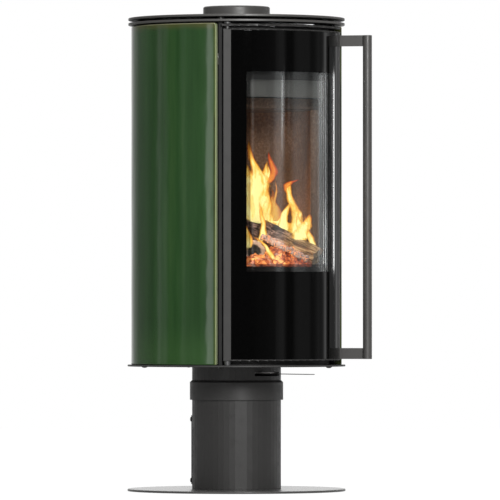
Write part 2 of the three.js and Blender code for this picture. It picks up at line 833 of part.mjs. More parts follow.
// The space below the fire: air duct, shelf and ash pan.
function ashSpace() {
  const group = new THREE.Group();
  const shelfLow = shelfHigh - shelfThickness;
  const panLow = shelfHigh + runnerHeight + seatGap;
  const panHigh = panLow + panHeight;
  const panFront = panFrontInset - frameInner;
  const panRear = panFront + panLength;
  const tray = cut(
    block(-panHalfWidth, panHalfWidth, panFront, panRear, panLow, panHigh),
    block(
      panWall - panHalfWidth,
      panHalfWidth - panWall,
      panFront + panWall,
      panRear - panWall,
      panLow + panWall,
      panHigh + 1,
    ),
  );
  const runners = [-1, 1].map((side) => {
    const middle = side * (runnerFromMiddle + runnerWidth / 2);
    return block(
      middle - runnerWidth / 2,
      middle + runnerWidth / 2,
      panFront,
      panFront + runnerLength,
      shelfHigh - shelfThickness / 2,
      shelfHigh + runnerHeight,
    );
  });
  const lip = block(
    -panLipHalfWidth,
    panLipHalfWidth,
    panFront - panLipReach,
    panFront + panWall / 2,
    panHigh - 4 * panLipThickness,
    panHigh - 3 * panLipThickness,
  );
  group.add(
    piece('air_duct', ring(ductBore, ductRadius, bottomPlateHigh + seatGap, shelfLow - seatGap), darkPaint),
    piece('ash_shelf', join(ring(ductBore, shelfRadius, shelfLow, shelfHigh), ...runners), darkPaint),
    piece('ash_pan', join(tray, lip), plainSteel),
  );
  return group;
}

// Cross rail, ring, spacers and top plate, and the flue collar that stands on the firebox.
function top() {
  const group = new THREE.Group();
  const railInner = postFlangeOuter + 2 * seatGap;
  const railEnd = cornerAngle - angleOf(postNoseHalfWidth + runningGap, railInner);
  const hinge = planPoint(hingeRadius, -stileMiddleAngle);
  const pinHole = drum(pinRadius + seatGap, railLow - 1, railHigh + 1, pinFacets).translate(hinge.x, hinge.y, 0);
  const rail = cut(band(railInner, bodyRadius, -railEnd, railEnd, railLow, railHigh), pinHole);

  const flueFoot = shellHead + seatGap;
  const flueBore = flueRadius - flueWall;
  const lipMiddle = flueHigh - flueLip;
  const flue = [
    [flueBore, flueFoot],
    [flueFootRadius, flueFoot],
    [flueFootRadius, flueFoot + flueFootThickness],
    [flueRadius, flueFoot + flueFootThickness],
  ];
  const lipSteps = 3;
  for (let step = 0; step <= lipSteps; step++) {
    const turn = (step / lipSteps) * (Math.PI / 2);
    flue.push([flueRadius - flueLip + flueLip * Math.cos(turn), lipMiddle + flueLip * Math.sin(turn)]);
  }
  flue.push([flueBore, flueHigh]);

  group.add(
    piece('front_rail', rail, darkPaint),
    piece('top_ring', ring(ringInner, topPlateRadius, ringLow, ringHigh), darkPaint),
    piece('top_plate', plateRing(flueRadius + runningGap, topPlateRadius, topPlateLow, topPlateHigh), darkPaint),
    piece('flue_collar', turned(flue), darkPaint),
  );
  for (let corner = 0; corner < 4; corner++) {
    const spacer = piece(
      'top_spacer_' + (corner + 1),
      drum(spacerRadius, ringHigh + seatGap, topPlateLow - seatGap, pinFacets),
      darkPaint,
    );
    const at = planPoint(spacerCircle, cornerAngle + 90 * corner);
    spacer.position.set(at.x, at.y, 0);
    group.add(spacer);
  }
  return group;
}

// The two pins that the door turns on: one stands on the bottom plate, one hangs in the cross rail.
function hingePins() {
  const group = new THREE.Group();
  const at = planPoint(hingeRadius, -stileMiddleAngle);
  const lower = piece(
    'hinge_pin_bottom',
    turned(
      [
        [0, bottomPlateHigh + seatGap],
        [pinShoulderRadius, bottomPlateHigh + seatGap],
        [pinShoulderRadius, doorLow - seatGap],
        [pinRadius, doorLow - seatGap],
        [pinRadius, doorLow + pinReach],
        [0, doorLow + pinReach],
      ],
      pinFacets,
    ),
    plainSteel,
  );
  const upper = piece(
    'hinge_pin_top',
    turned(
      [
        [0, doorHigh - pinReach],
        [pinRadius, doorHigh - pinReach],
        [pinRadius, railHigh + seatGap],
        [pinHeadRadius, railHigh + seatGap],
        [pinHeadRadius, railHigh + seatGap + pinHeadThickness],
        [0, railHigh + seatGap + pinHeadThickness],
      ],
      pinFacets,
    ),
    plainSteel,
  );
  for (const pin of [lower, upper]) {
    pin.position.set(at.x, at.y, 0);
    group.add(pin);
  }
  return group;
}

// The door's frame: solid stiles, narrow top and bottom edges and a web with the window in it.
function doorFrame() {
  const hinge = planPoint(hingeRadius, -stileMiddleAngle);
  const inLow = doorLow + doorRim;
  const inHigh = doorHigh - doorRim;
  const bore = (low, high) => drum(pinRadius + runningGap, low, high, pinFacets).translate(hinge.x, hinge.y, 0);
  return cut(
    band(doorInner, bodyRadius, -doorHalfAngle, doorHalfAngle, doorLow, doorHigh),
    band(webOuter, bodyRadius + doorDepth, -stileInnerAngle, stileInnerAngle, inLow, inHigh),
    band(doorInner - doorDepth, webInner, -stileInnerAngle, stileInnerAngle, inLow, inHigh),
    band(
      doorInner - doorDepth,
      bodyRadius + doorDepth,
      -windowHalfAngle,
      windowHalfAngle,
      windowLow,
      windowHigh,
    ),
    bore(doorLow - 1, doorLow + pinReach + runningGap),
    bore(doorHigh - pinReach - runningGap, doorHigh + 1),
  );
}

// A curved rectangular frame that borders the window at a given distance outside it.
function windowFrame(inner, outer, from, to) {
  const inside = windowHalfAngle + angleOf(from, outer);
  const outside = windowHalfAngle + angleOf(to, outer);
  const past = outer - inner;
  return cut(
    band(inner, outer, -outside, outside, windowLow - to, windowHigh + to),
    band(inner - past, outer + past, -inside, inside, windowLow - from, windowHigh + from),
  );
}

// The tongue of the catch stands on the back of the door and runs past a roller.
function catchTongue() {
  return common(
    block(tongueSide, tongueSide + tongueThickness, -bodyRadius, tongueTip, catchLow, catchHigh),
    drum(webInner - seatGap, catchLow - 1, catchHigh + 1),
  );
}

// The fixed half of the catch: a bracket behind the front frame whose axle carries the roller.
function catchFixed() {
  const group = new THREE.Group();
  const earLow = catchLow - rollerPlay - rollerEarThickness;
  const earHigh = catchHigh + rollerPlay + rollerEarThickness;
  const outer = frameInner - seatGap;
  const foot = band(outer - bracketThickness, outer, bracketFromAngle, bracketToAngle, earLow, earHigh);
  const ears = [earLow, earHigh - rollerEarThickness].map((earFoot) =>
    common(
      block(
        rollerX - rollerRadius,
        rollerX + rollerRadius - 2 * rollerPlay,
        -outer,
        rollerY + rollerRadius,
        earFoot,
        earFoot + rollerEarThickness,
      ),
      drum(outer - bracketThickness / 2, earFoot - 1, earFoot + rollerEarThickness + 1),
    ),
  );
  const axle = drum(rollerAxleRadius, earLow, earHigh, pinFacets / 2).translate(rollerX, rollerY, 0);
  group.add(piece('catch_bracket', join(foot, ...ears, axle), plainSteel));
  return group;
}

function catchRoller() {
  const roller = ring(rollerAxleRadius + rollerPlay, rollerRadius, catchLow, catchHigh, pinFacets);
  return piece('catch_roller', roller.translate(rollerX, rollerY, 0), plainSteel);
}

// The door: frame, two panes, retainer, sealing rope, handle and catch tongue.
function door() {
  const group = new THREE.Group();
  const glassEnd = stileInnerAngle - angleOf(seatGap, glassInner);
  const outerGlass = band(
    glassInner,
    glassOuter,
    -glassEnd,
    glassEnd,
    doorLow + doorRim + seatGap,
    doorHigh - doorRim - seatGap,
  );
  const innerEnd = windowHalfAngle + angleOf(innerGlassLap, innerGlassOuter);
  const innerGlass = band(
    innerGlassInner,
    innerGlassOuter,
    -innerEnd,
    innerEnd,
    windowLow - innerGlassLap,
    windowHigh + innerGlassLap,
  );
  const retainer = windowFrame(retainerInner, retainerOuter, 0, ropeOutsideWindow + ropeWidth);
  const rope = windowFrame(ropeInner, ropeOuter, ropeOutsideWindow, ropeOutsideWindow + ropeWidth);

  group.add(
    piece('door_frame', doorFrame(), darkPaint),
    piece('outer_glass', outerGlass, blackGlass),
    piece('inner_glass', innerGlass, clearGlass),
    piece('inner_glass_retainer', retainer, darkPaint),
    piece('seal_rope', rope, ropeFibre),
    piece('catch_tongue', catchTongue(), plainSteel),
    handle(),
  );
  return group;
}

// The bow handle: two flat arms that stand straight out of the right stile and a round bar.
// It is drawn at the front and turned to the stile.
function handle() {
  const group = new THREE.Group();
  const barMiddle = bodyRadius + handleReach;
  const low = doorLow + handleEndInset;
  const high = doorHigh - handleTopInset;
  const arm = (armLow) =>
    block(
      -handleArmThickness / 2,
      handleArmThickness / 2,
      handleBarRadius + seatGap - barMiddle,
      -(bodyRadius + seatGap),
      armLow,
      armLow + handleArmHeight,
    );
  const bar = turned(
    [
      [0, low],
      [handleBarRadius - handleBarEdge, low],
      [handleBarRadius, low + handleBarEdge],
      [handleBarRadius, high - handleBarEdge],
      [handleBarRadius - handleBarEdge, high],
      [0, high],
    ],
    pinFacets,
  );
  group.add(
    piece('handle_arm_bottom', arm(low), darkPaint),
    piece('handle_arm_top', arm(high - handleArmHeight), darkPaint),
    piece('handle_bar', bar.translate(0, -barMiddle, 0), darkPaint),
  );
  group.rotation.z = stileMiddleAngle * toRadians;
  return group;
}

const stove = new THREE.Group();
stove.add(
  pedestal(),
  swivel(),
  neck(),
  airControl(),
  bodyShell(),
  firebox(),
  ashSpace(),
  top(),
  hingePins(),
  catchFixed(),
  catchRoller(),
  door(),
);

export default stove;
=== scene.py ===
import bpy
import bmesh
import math
from mathutils import Matrix, Vector, noise


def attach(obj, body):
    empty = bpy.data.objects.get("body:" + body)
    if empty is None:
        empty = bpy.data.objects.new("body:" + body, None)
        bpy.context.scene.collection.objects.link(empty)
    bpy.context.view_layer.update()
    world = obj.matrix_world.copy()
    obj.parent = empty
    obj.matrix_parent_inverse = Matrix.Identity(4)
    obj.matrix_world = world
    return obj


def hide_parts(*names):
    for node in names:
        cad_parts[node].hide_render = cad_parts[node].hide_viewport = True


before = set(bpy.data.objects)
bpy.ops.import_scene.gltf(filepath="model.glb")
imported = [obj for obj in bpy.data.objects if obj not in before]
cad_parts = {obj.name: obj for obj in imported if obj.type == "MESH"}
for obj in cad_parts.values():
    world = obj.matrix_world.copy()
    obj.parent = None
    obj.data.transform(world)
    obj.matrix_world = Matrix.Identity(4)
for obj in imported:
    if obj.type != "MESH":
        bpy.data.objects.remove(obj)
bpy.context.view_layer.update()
mm = 0.001
print("frame loaded")

# the photographer's camera: degrees round from the middle of the door, metres, millimetres of lens
cameraSetup = {
    "side": -35.8,
    "distance": 14.26,
    "height": 0.418,
    "lens": 456.3,
    "sensor": 36,
    "clip": (0.5, 60),
    "tiltUp": 0.497,
    "turnRight": 0.122,
}


def planDirection(fromFront):
    # 0 points out of the door, 90 to the right of someone facing it
    turn = math.radians(fromFront)
    return Vector((math.sin(turn), -math.cos(turn), 0))


def addObject(name, data):
    made = bpy.data.objects.new(name, data)
    bpy.context.scene.collection.objects.link(made)
    return made


def makeCamera(setup):
    data = bpy.data.cameras.new("photoCamera")
    data.lens = setup["lens"]
    data.sensor_width = setup["sensor"]
    data.clip_start, data.clip_end = setup["clip"]
    camera = addObject("photoCamera", data)
    camera.location = planDirection(setup["side"]) * setup["distance"]
    camera.location.z = setup["height"]
    camera.rotation_euler = (
        math.radians(90 + setup["tiltUp"]),
        0,
        math.radians(setup["side"] - setup["turnRight"]),
    )
    bpy.context.scene.camera = camera


makeCamera(cameraSetup)
bpy.context.scene.view_settings.view_transform = "Standard"
print("camera set")


# mesh helpers, with sizes in millimetres

# points nearer than this are joined: in a spun ring, and in a copy of a CAD node
weldGap = {"spun": 0.002, "copied": 0.005}


def ringOutline(inner, outer, low, high):
    return [(inner, low), (outer, low), (outer, high), (inner, high)]


def spunOutline(outline, start=-180, sweep=360, steps=180):
    # turns a closed outline of (radius, height) about the stove's axis
    bm = bmesh.new()
    side = planDirection(start)
    points = [bm.verts.new((side * radius + Vector((0, 0, height))) * mm) for radius, height in outline]
    lines = [bm.edges.new(pair) for pair in zip(points, points[1:] + points[:1])]
    whole = sweep >= 360
    made = bmesh.ops.spin(
        bm,
        geom=points + lines,
        cent=(0, 0, 0),
        axis=(0, 0, 1),
        angle=math.radians(sweep),
        steps=steps,
        use_merge=whole,
    )
    if not whole:
        lastLines = [g for g in made["geom_last"] if isinstance(g, bmesh.types.BMEdge)]
        bmesh.ops.contextual_create(bm, geom=lines)
        bmesh.ops.contextual_create(bm, geom=lastLines)
    bmesh.ops.remove_doubles(bm, verts=bm.verts, dist=weldGap["spun"] * mm)
    bmesh.ops.recalc_face_normals(bm, faces=bm.faces)
    return bm


def softenEdges(bm, width, segments=2, least=40):
    # rounds every edge that turns by more than the least angle
    turned = math.radians(least)
    sharp = [e for e in bm.edges if len(e.link_faces) == 2 and e.calc_face_angle(0) > turned]
    bmesh.ops.bevel(
        bm,
        geom=sharp,
        offset=width * mm,
        segments=segments,
        profile=0.5,
        affect="EDGES",
        material=-1,
        clamp_overlap=True,
    )


def curvedSlab(size, middle=0, segments=2):
    # an upright slab bent round the stove's axis, with rounded edges
    outline = ringOutline(size["inner"], size["outer"], size["low"], size["high"])
    slab = spunOutline(outline, middle - size["halfAngle"], 2 * size["halfAngle"], size["steps"])
    softenEdges(slab, size["edge"], segments)
    return slab


def copyOfNode(node):
    # a welded copy of a CAD node's own mesh
    bm = bmesh.new()
    bm.from_mesh(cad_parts[node].data)
    bmesh.ops.remove_doubles(bm, verts=bm.verts, dist=weldGap["copied"] * mm)
    return bm


def meshFrom(name, bm):
    mesh = bpy.data.meshes.new(name)
    bm.to_mesh(mesh)
    bm.free()
    return mesh


# edges that turn by more degrees than this stay sharp: on tubes, on slabs with rounded edges, and elsewhere
tubeShade, slabShade, otherShade = 25, 50, 32


def showPiece(name, bm, body, materials, standsFor=(), sharpFrom=otherShade, evenShade=True):
    mesh = meshFrom(name, bm)
    for material in materials:
        mesh.materials.append(material)
    mesh.polygons.foreach_set("use_smooth", [True] * len(mesh.polygons))
    mesh.set_sharp_from_angle(angle=math.radians(sharpFrom))
    piece = addObject(name, mesh)
    if evenShade:
        weighted = piece.modifiers.new("evenShade", "WEIGHTED_NORMAL")
        weighted.mode = "FACE_AREA_WITH_ANGLE"
        weighted.keep_sharp = True
    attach(piece, body)
    if standsFor:
        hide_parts(*standsFor)


# the door glass: outer pane, its clear window and the rim printed on the inner pane
paneSize = {
    "outer": 237.0,
    "inner": 232.0,
    "low": 297.3,
    "high": 1026.7,
    "halfAngle": 38.72,
    "windowHalfAngle": 30.4,
    "windowLow": 492,
    "windowHigh": 936,
    "rimHalfAngle": 27.9,
    "rimLow": 508.8,
    "rimHigh": 917.5,
    "steps": 78,
    "edge": 0.5,
}


# material helpers


class Shade:
    # clears the nodes of one material or world, then adds new ones and joins them up
    def __init__(self, owner):
        owner.use_nodes = True
        owner.node_tree.nodes.clear()
        self.owner = owner
        self.tree = owner.node_tree

    def feed(self, socket, value):
        if isinstance(value, bpy.types.NodeSocket):
            self.tree.links.new(value, socket)
        else:
            socket.default_value = (*value, 1) if socket.type == "RGBA" else value

    def node(self, kind, inputs=None, **settings):
        made = self.tree.nodes.new("ShaderNode" + kind)
        for key, value in settings.items():
            setattr(made, key, value)
        for socket, value in (inputs or {}).items():
            self.feed(made.inputs[socket], value)
        return made

    def where(self, scale=(1, 1, 1)):
        place = self.node("TexCoord").outputs["Object"]
        return self.node("Mapping", {"Vector": place, "Scale": scale}).outputs["Vector"]

    def noise(self, vector, scale, detail=4.0, roughness=0.5, distortion=0.0):
        inputs = {"Vector": vector, "Scale": scale, "Detail": detail}
        inputs |= {"Roughness": roughness, "Distortion": distortion}
        return self.node("TexNoise", inputs).outputs["Fac"]

    def noiseColour(self, vector, scale):
        return self.node("TexNoise", {"Vector": vector, "Scale": scale}).outputs["Color"]

    def cells(self, vector, scale, feature="F1", randomness=1.0):
        inputs = {"Vector": vector, "Scale": scale, "Randomness": randomness}
        return self.node("TexVoronoi", inputs, feature=feature).outputs["Distance"]

    def ramp(self, value, stops):
        # stops are (place, colour), or (place, level) for a grey
        made = self.node("ValToRGB", {"Fac": value})
        elements = made.color_ramp.elements
        while len(elements) > 1:
            elements.remove(elements[-1])
        for index, (place, colour) in enumerate(stops):
            tone = colour if isinstance(colour, tuple) else (colour, colour, colour)
            element = elements.new(place) if index else elements[0]
            element.position = place
            element.color = (*tone, 1)
        return made.outputs["Color"]

    def span(self, value, low, high, toLow=0.0, toHigh=1.0, smooth=False):
        inputs = {"Value": value, "From Min": low, "From Max": high, "To Min": toLow, "To Max": toHigh}
        kind = "SMOOTHSTEP" if smooth else "LINEAR"
        return self.node("MapRange", inputs, interpolation_type=kind, clamp=True).outputs["Result"]

    def maths(self, operation, *values):
        return self.node("Math", dict(enumerate(values)), operation=operation).outputs["Value"]

    def plus(self, first, second):
        return self.maths("ADD", first, second)

    def minus(self, first, second):
        return self.maths("SUBTRACT", first, second)

    def times(self, first, *others):
        for other in others:
            first = self.maths("MULTIPLY", first, other)
        return first

    def blend(self, share, first, second, mode="MIX"):
        made = self.node("Mix", {"Factor": share}, data_type="RGBA", blend_type=mode)
        for name, colour in (("A", first), ("B", second)):
            self.feed(next(s for s in made.inputs if s.name == name and s.type == "RGBA"), colour)
        return next(s for s in made.outputs if s.type == "RGBA")

    def axes(self, vector):
        return self.node("SeparateXYZ", {"Vector": vector}).outputs

    def spot(self):
        # degrees round the stove's axis from the middle of the door, and metres above the floor
        x, y, z = self.axes(self.node("TexCoord").outputs["Object"])
        turn = self.maths("ARCTAN2", x, self.times(y, -1.0))
        return self.times(turn, 180 / math.pi), z

    def attribute(self, name):
        return self.node("Attribute", attribute_name=name).outputs["Fac"]

    def bump(self, height, strength, distance):
        inputs = {"Height": height, "Strength": strength, "Distance": distance}
        return self.node("Bump", inputs).outputs["Normal"]

    def surface(self, **values):
        inputs = {name.replace("_", " "): value for name, value in values.items()}
        return self.node("BsdfPrincipled", inputs).outputs["BSDF"]

    def mixed(self, share, first, second):
        return self.node("MixShader", {0: share, 1: first, 2: second}).outputs[0]

    def finish(self, shader):
        self.node("OutputMaterial", {"Surface": shader})
        return self.owner

    def painted(self, **values):
        return self.finish(self.surface(**values))


def startMaterial(name):
    return Shade(bpy.data.materials.new(name))


def heatProofPaint(name, tone, grain=1.0, rough=(0.36, 0.5)):
    # satin heat-proof paint on steel: fine grain, a little cloudiness
    s = startMaterial(name)
    place = s.where()
    darker = tuple(0.86 * t for t in tone)
    return s.painted(
        Base_Color=s.ramp(s.noise(place, 7, 3), [(0.3, darker), (0.7, tone)]),
        Roughness=s.span(s.noise(place, 60, 3), 0.3, 0.7, *rough),
        Metallic=0.2,
        Normal=s.bump(s.noise(place, 1500, 2, 0.6), 0.05 * grain, 0.0004),
        Specular_IOR_Level=0.5,
    )


def sheetSteel(name, tone, rough=0.38, metallic=0.9):
    # plain steel with faint rolling lines
    s = startMaterial(name)
    lines = s.noise(s.where((1, 1, 40)), 60, 4, 0.6)
    low = tuple(0.75 * t for t in tone)
    return s.painted(
        Base_Color=s.ramp(s.noise(s.where(), 9, 4), [(0.3, low), (0.65, tone)]),
        Roughness=s.span(lines, 0.3, 0.7, rough - 0.06, rough + 0.08),
        Metallic=metallic,
        Normal=s.bump(lines, 0.08, 0.0005),
    )


glazeTones = {
    "runs": [(0.3, (0.011, 0.034, 0.009)), (0.55, (0.016, 0.046, 0.013)), (0.75, (0.024, 0.058, 0.017))],
    "cloud": (0.026, 0.052, 0.014),
    "foot": (0.026, 0.066, 0.018),
    "end": (0.045, 0.052, 0.012),
    "thick": (0.010, 0.013, 0.003),
    "top": (0.060, 0.058, 0.018),
    # rim: a painted highlight along the tile's top edge
    "rim": (0.34, 0.34, 0.20),
    # endFace: the pale end face, partly its thin-glazed body and partly painted light
    "endFace": [(0.1, (0.55, 0.62, 0.36)), (0.6, (0.24, 0.29, 0.13))],
}
# where each change sets in: metres above the floor, then degrees from the corner
glazeReach = {
    "foot": (0.300, 0.390),
    "top": (1.020, 1.037),
    "rim": (1.0405, 1.0425),
    "end": (2.9, 4.6),
    "endFace": (2.15, 2.55),
    "endRound": (2.1, 2.2),
}


def greenGlaze(tones, reach):
    # dark green gloss glaze over a pale body: thin and yellowish at the edges, lighter green near the foot,
    # with soft upright runs, a painted highlight along the top edge, and painted light and shade on the end
    # faces
    s = startMaterial("greenGlaze")
    degrees, height = s.spot()
    quarter = s.maths("MODULO", s.plus(degrees, 360.0), 90.0)
    fromCorner = s.maths("ABSOLUTE", s.minus(quarter, 45.0))
    patches = s.noise(s.where((1, 1, 0.7)), 30, 5, 0.6, 0.4)
    body = s.ramp(s.noise(s.where((1, 1, 0.08)), 28, 4, 0.55), tones["runs"])
    cloudy = s.span(s.noise(s.where((1, 1, 0.15)), 6, 2), 0.45, 0.75, 0, 0.35)
    body = s.blend(cloudy, body, tones["cloud"])
    body = s.blend(s.span(height, *reach["foot"], 0.55, 0, True), body, tones["foot"])
    nearEnd = s.span(s.plus(fromCorner, s.times(patches, 1.6)), *reach["end"], 1, 0, True)
    body = s.blend(s.times(nearEnd, 0.8), body, tones["end"])
    spots = s.span(s.noise(s.where((1, 1, 0.22)), 22, 2), 0.50, 0.58, 0, 0.9, True)
    body = s.blend(s.times(spots, nearEnd), body, tones["thick"])
    nearTop = s.span(s.minus(height, s.times(patches, 0.012)), *reach["top"], 0, 1, True)
    body = s.blend(s.times(nearTop, 0.75), body, tones["top"])
    # a thin pale line along the top edge: painted highlight
    body = s.blend(s.span(height, *reach["rim"], 0, 1, True), body, tones["rim"])
    # the end face is the pale body under thin glaze, made lighter still as painted light; it shows only on
    # the left half of the stove, and on the right half the end faces keep the dark body colour as painted
    # shade
    onLeft = s.maths("LESS_THAN", degrees, 0.0)
    endFace = s.times(s.span(fromCorner, *reach["endFace"], 1, 0, True), onLeft)
    pale = s.ramp(s.span(fromCorner, *reach["endRound"]), tones["endFace"])
    ripple = s.plus(s.noise(s.where((1, 1, 0.4)), 18, 2), s.times(s.noise(s.where(), 420, 2), 0.005))
    return s.painted(
        Base_Color=s.blend(endFace, body, pale),
        Roughness=s.span(patches, 0.3, 0.8, 0.05, 0.12),
        Normal=s.bump(ripple, 0.3, 0.0036),
        Coat_Weight=0.25,
        Coat_Roughness=0.04,
        Specular_IOR_Level=0.5,
    )


def blackGlass():
    # the printed border of the door's outer pane
    s = startMaterial("blackGlass")
    dust = s.noise(s.where(), 260, 4)
    return s.painted(
        Base_Color=s.ramp(dust, [(0.3, 0.0009), (0.8, 0.0016)]),
        Roughness=s.span(dust, 0.3, 0.8, 0.02, 0.035),
        Specular_IOR_Level=0.28,
    )


# how rough the panes are, how much they mirror when seen edge on, and the grey of the printed rim
glassLook = {"rough": 0.012, "edgeOn": 0.85, "rim": (0.62, 0.62, 0.62)}


def clearGlass(name, tint, mirror, rimmed=False):
    # thin clear glass: straight through, with a mirror share that grows towards the edge
    s = startMaterial(name)
    if rimmed:
        # the grey printed rim that shows inside the clear window
        degrees, height = s.spot()
        ends = s.maths("GREATER_THAN", s.maths("ABSOLUTE", degrees), paneSize["rimHalfAngle"])
        above = s.maths("GREATER_THAN", height, paneSize["rimHigh"] * mm)
        below = s.maths("LESS_THAN", height, paneSize["rimLow"] * mm)
        rim = s.maths("MAXIMUM", s.maths("MAXIMUM", ends, above), below)
        tint = s.blend(rim, tint, glassLook["rim"])
    through = s.node("BsdfTransparent", {"Color": tint})
    shine = s.node("BsdfGlossy", {"Color": (1, 1, 1), "Roughness": glassLook["rough"]})
    steep = s.maths("POWER", s.node("LayerWeight", {"Blend": 0.5}).outputs["Facing"], 5.0)
    share = s.maths("MULTIPLY_ADD", steep, glassLook["edgeOn"] - mirror, mirror)
    return s.finish(s.mixed(share, through.outputs[0], shine.outputs[0]))


brickTones = {
    "flecks": [(0.0, (0.18, 0.105, 0.07)), (0.5, (0.25, 0.15, 0.10)), (0.9, (0.32, 0.21, 0.145))],
    "soot": (0.045, 0.030, 0.022),
    # burnt: the near black used for painted shade on the lining's front edges and the baffle's underside
    "burnt": (0.006, 0.004, 0.003),
}


def fireBrick(name, tones, paintedShadeBelow=False):
    # pressed vermiculite: brown, flecked and sooty, darker within 44 degrees of the door's middle as painted
    # shade; on the baffle the painted shade darkens its underside instead
    s = startMaterial(name)
    flecks = s.cells(s.where(), 190)
    soot = s.noise(s.where((1, 1, 0.4)), 9, 5, 0.6)
    colour = s.blend(s.span(soot, 0.42, 0.68, 0, 0.75), s.ramp(flecks, tones["flecks"]), tones["soot"])
    degrees, height = s.spot()
    # painted shade: within 44 degrees of the door's middle the brick is darkened a fifth of the way to near
    # black
    unshadedShare = s.span(s.maths("ABSOLUTE", degrees), 44.0, 46.5, 0.80, 1.0, True)
    # on the baffle, painted shade darkens the underside below 856 mm about two thirds of the way to near
    # black
    if paintedShadeBelow:
        unshadedShare = s.span(height, 0.8562, 0.8600, 0.36, 1.0, True)
    return s.painted(
        Base_Color=s.blend(unshadedShare, tones["burnt"], colour),
        Roughness=0.95,
        Normal=s.bump(s.plus(flecks, s.times(soot, 0.5)), 0.4, 0.002),
    )


def castIron():
    # rough cast iron with a little rust
    s = startMaterial("castIron")
    place = s.where()
    tones = [(0.35, (0.028, 0.026, 0.025)), (0.7, (0.055, 0.036, 0.026))]
    return s.painted(
        Base_Color=s.ramp(s.noise(place, 30, 5, 0.65), tones),
        Roughness=0.8,
        Metallic=0.5,
        Normal=s.bump(s.noise(place, 700, 3, 0.7), 0.35, 0.0008),
    )


def ropeFibre():
    # woven glass-fibre rope
    s = startMaterial("ropeFibre")
    weave = s.cells(s.where(), 420, "F1", 0.35)
    colour = s.ramp(weave, [(0.1, (0.17, 0.16, 0.15)), (0.8, (0.075, 0.07, 0.065))])
    return s.painted(Base_Color=colour, Roughness=1.0, Normal=s.bump(weave, 0.7, 0.0015))


def slidingPlastic():
    # the waxy dark ring that the swivel collar slides on
    s = startMaterial("slidingPlastic")
    worn = s.noise(s.where(), 45, 4, 0.6)
    rubbed = s.noise(s.where((1, 1, 6)), 180, 3)
    return s.painted(
        Base_Color=s.ramp(worn, [(0.3, (0.10, 0.095, 0.09)), (0.7, (0.14, 0.13, 0.12))]),
        Roughness=s.span(rubbed, 0.3, 0.7, 0.35, 0.5),
        Normal=s.bump(rubbed, 0.05, 0.0004),
    )


satinPaint = heatProofPaint("satinPaint", (0.031, 0.030, 0.029))
# painted light: a lighter copy of the satin paint for the top ring, top plate, flue collar and handle
satinPaintLitCopy = heatProofPaint("satinPaintLitCopy", (0.062, 0.060, 0.057))
# the floor plate's paint: smoother than the satin paint, and lighter as painted reflection of the pale
# surroundings
platePaint = heatProofPaint("platePaint", (0.070, 0.069, 0.067), 0.12, (0.26, 0.30))
darkPaint = heatProofPaint("darkPaint", (0.022, 0.021, 0.020), 1.0, (0.52, 0.62))
# painted shade: near-black paint on the corner posts for the dark gaps between the tiles and the door
postPaintedShade = heatProofPaint("postPaintedShade", (0.009, 0.009, 0.009), 1.0, (0.62, 0.72))
plainSteel = sheetSteel("plainSteel", (0.42, 0.41, 0.40))
sootySteel = sheetSteel("sootySteel", (0.115, 0.110, 0.105), 0.6, 0.15)
pinSteel = sheetSteel("pinSteel", (0.10, 0.10, 0.10), 0.5, 0.7)
glazeCoat = greenGlaze(glazeTones, glazeReach)
printedGlass = blackGlass()
outerClear = clearGlass("outerClearGlass", (0.95, 0.96, 0.96), 0.026)
innerClear = clearGlass("innerClearGlass", (0.95, 0.95, 0.94), 0.125, rimmed=True)
brick = fireBrick("fireBrick", brickTones)
brickShadedBelow = fireBrick("brickShadedBelow", brickTones, paintedShadeBelow=True)
iron = castIron()
rope = ropeFibre()
glidePlastic = slidingPlastic()
print("materials made")


# what stands on the floor: base plate, tube, cover, swivel collar and neck

pedestalSize = {"plateRadius": 245, "plateThickness": 5, "edge": 1.2}


def makePedestal(size):
    plate = spunOutline(ringOutline(0, size["plateRadius"], 0, size["plateThickness"]))
    softenEdges(plate, size["edge"], 3)
    showPiece("floorPlate", plate, "pedestal", [platePaint], ["base_plate"])
    for node, name, body in (
        ("pedestal_tube", "pedestalTube", "pedestal"),
        ("rear_access_cover", "rearAccessCover", "pedestal"),
        ("swivel_collar", "swivelCollar", "stove"),
        ("neck_tube", "neckTube", "stove"),
    ):
        showPiece(name, copyOfNode(node), body, [satinPaint], [node], tubeShade)


makePedestal(pedestalSize)
print("pedestal made")


# the cladding: bottom plate and three tiles

tileSize = {
    "inner": 211,
    "outer": 237.4,
    "low": 284.3,
    "high": 1043,
    "halfAngle": 42.9,
    "edge": 3,
    "steps": 66,
}
for name, node, middle in (
    ("glazedTileLeft", "tile_left", -90),
    ("glazedTileRear", "tile_rear", 180),
    ("glazedTileRight", "tile_right", 90),
):
    tile = curvedSlab(tileSize, middle, 5)
    showPiece(name, tile, "stove", [glazeCoat], [node], slabShade)
bottom = copyOfNode("bottom_plate")
showPiece("bottomPlate", bottom, "stove", [satinPaint], ["bottom_plate"], tubeShade)
print("cladding made")


# the top: ring, top plate, flue collar and front rail

topSize = {
    "radius": 243.5,
    "ring": (184, 1046.5, 1051.5),
    "plate": (75.7, 1057.5, 1062.5),
    "edge": 0.9,
    "flueOuter": 75,
    "flueInner": 68.5,
    "flueFoot": 960.3,
    "flueFlange": 88,
    "flangeThickness": 4,
    "flueHigh": 1089,
    "flueEdge": 4.2,
    "flueChamfer": 0.6,
}


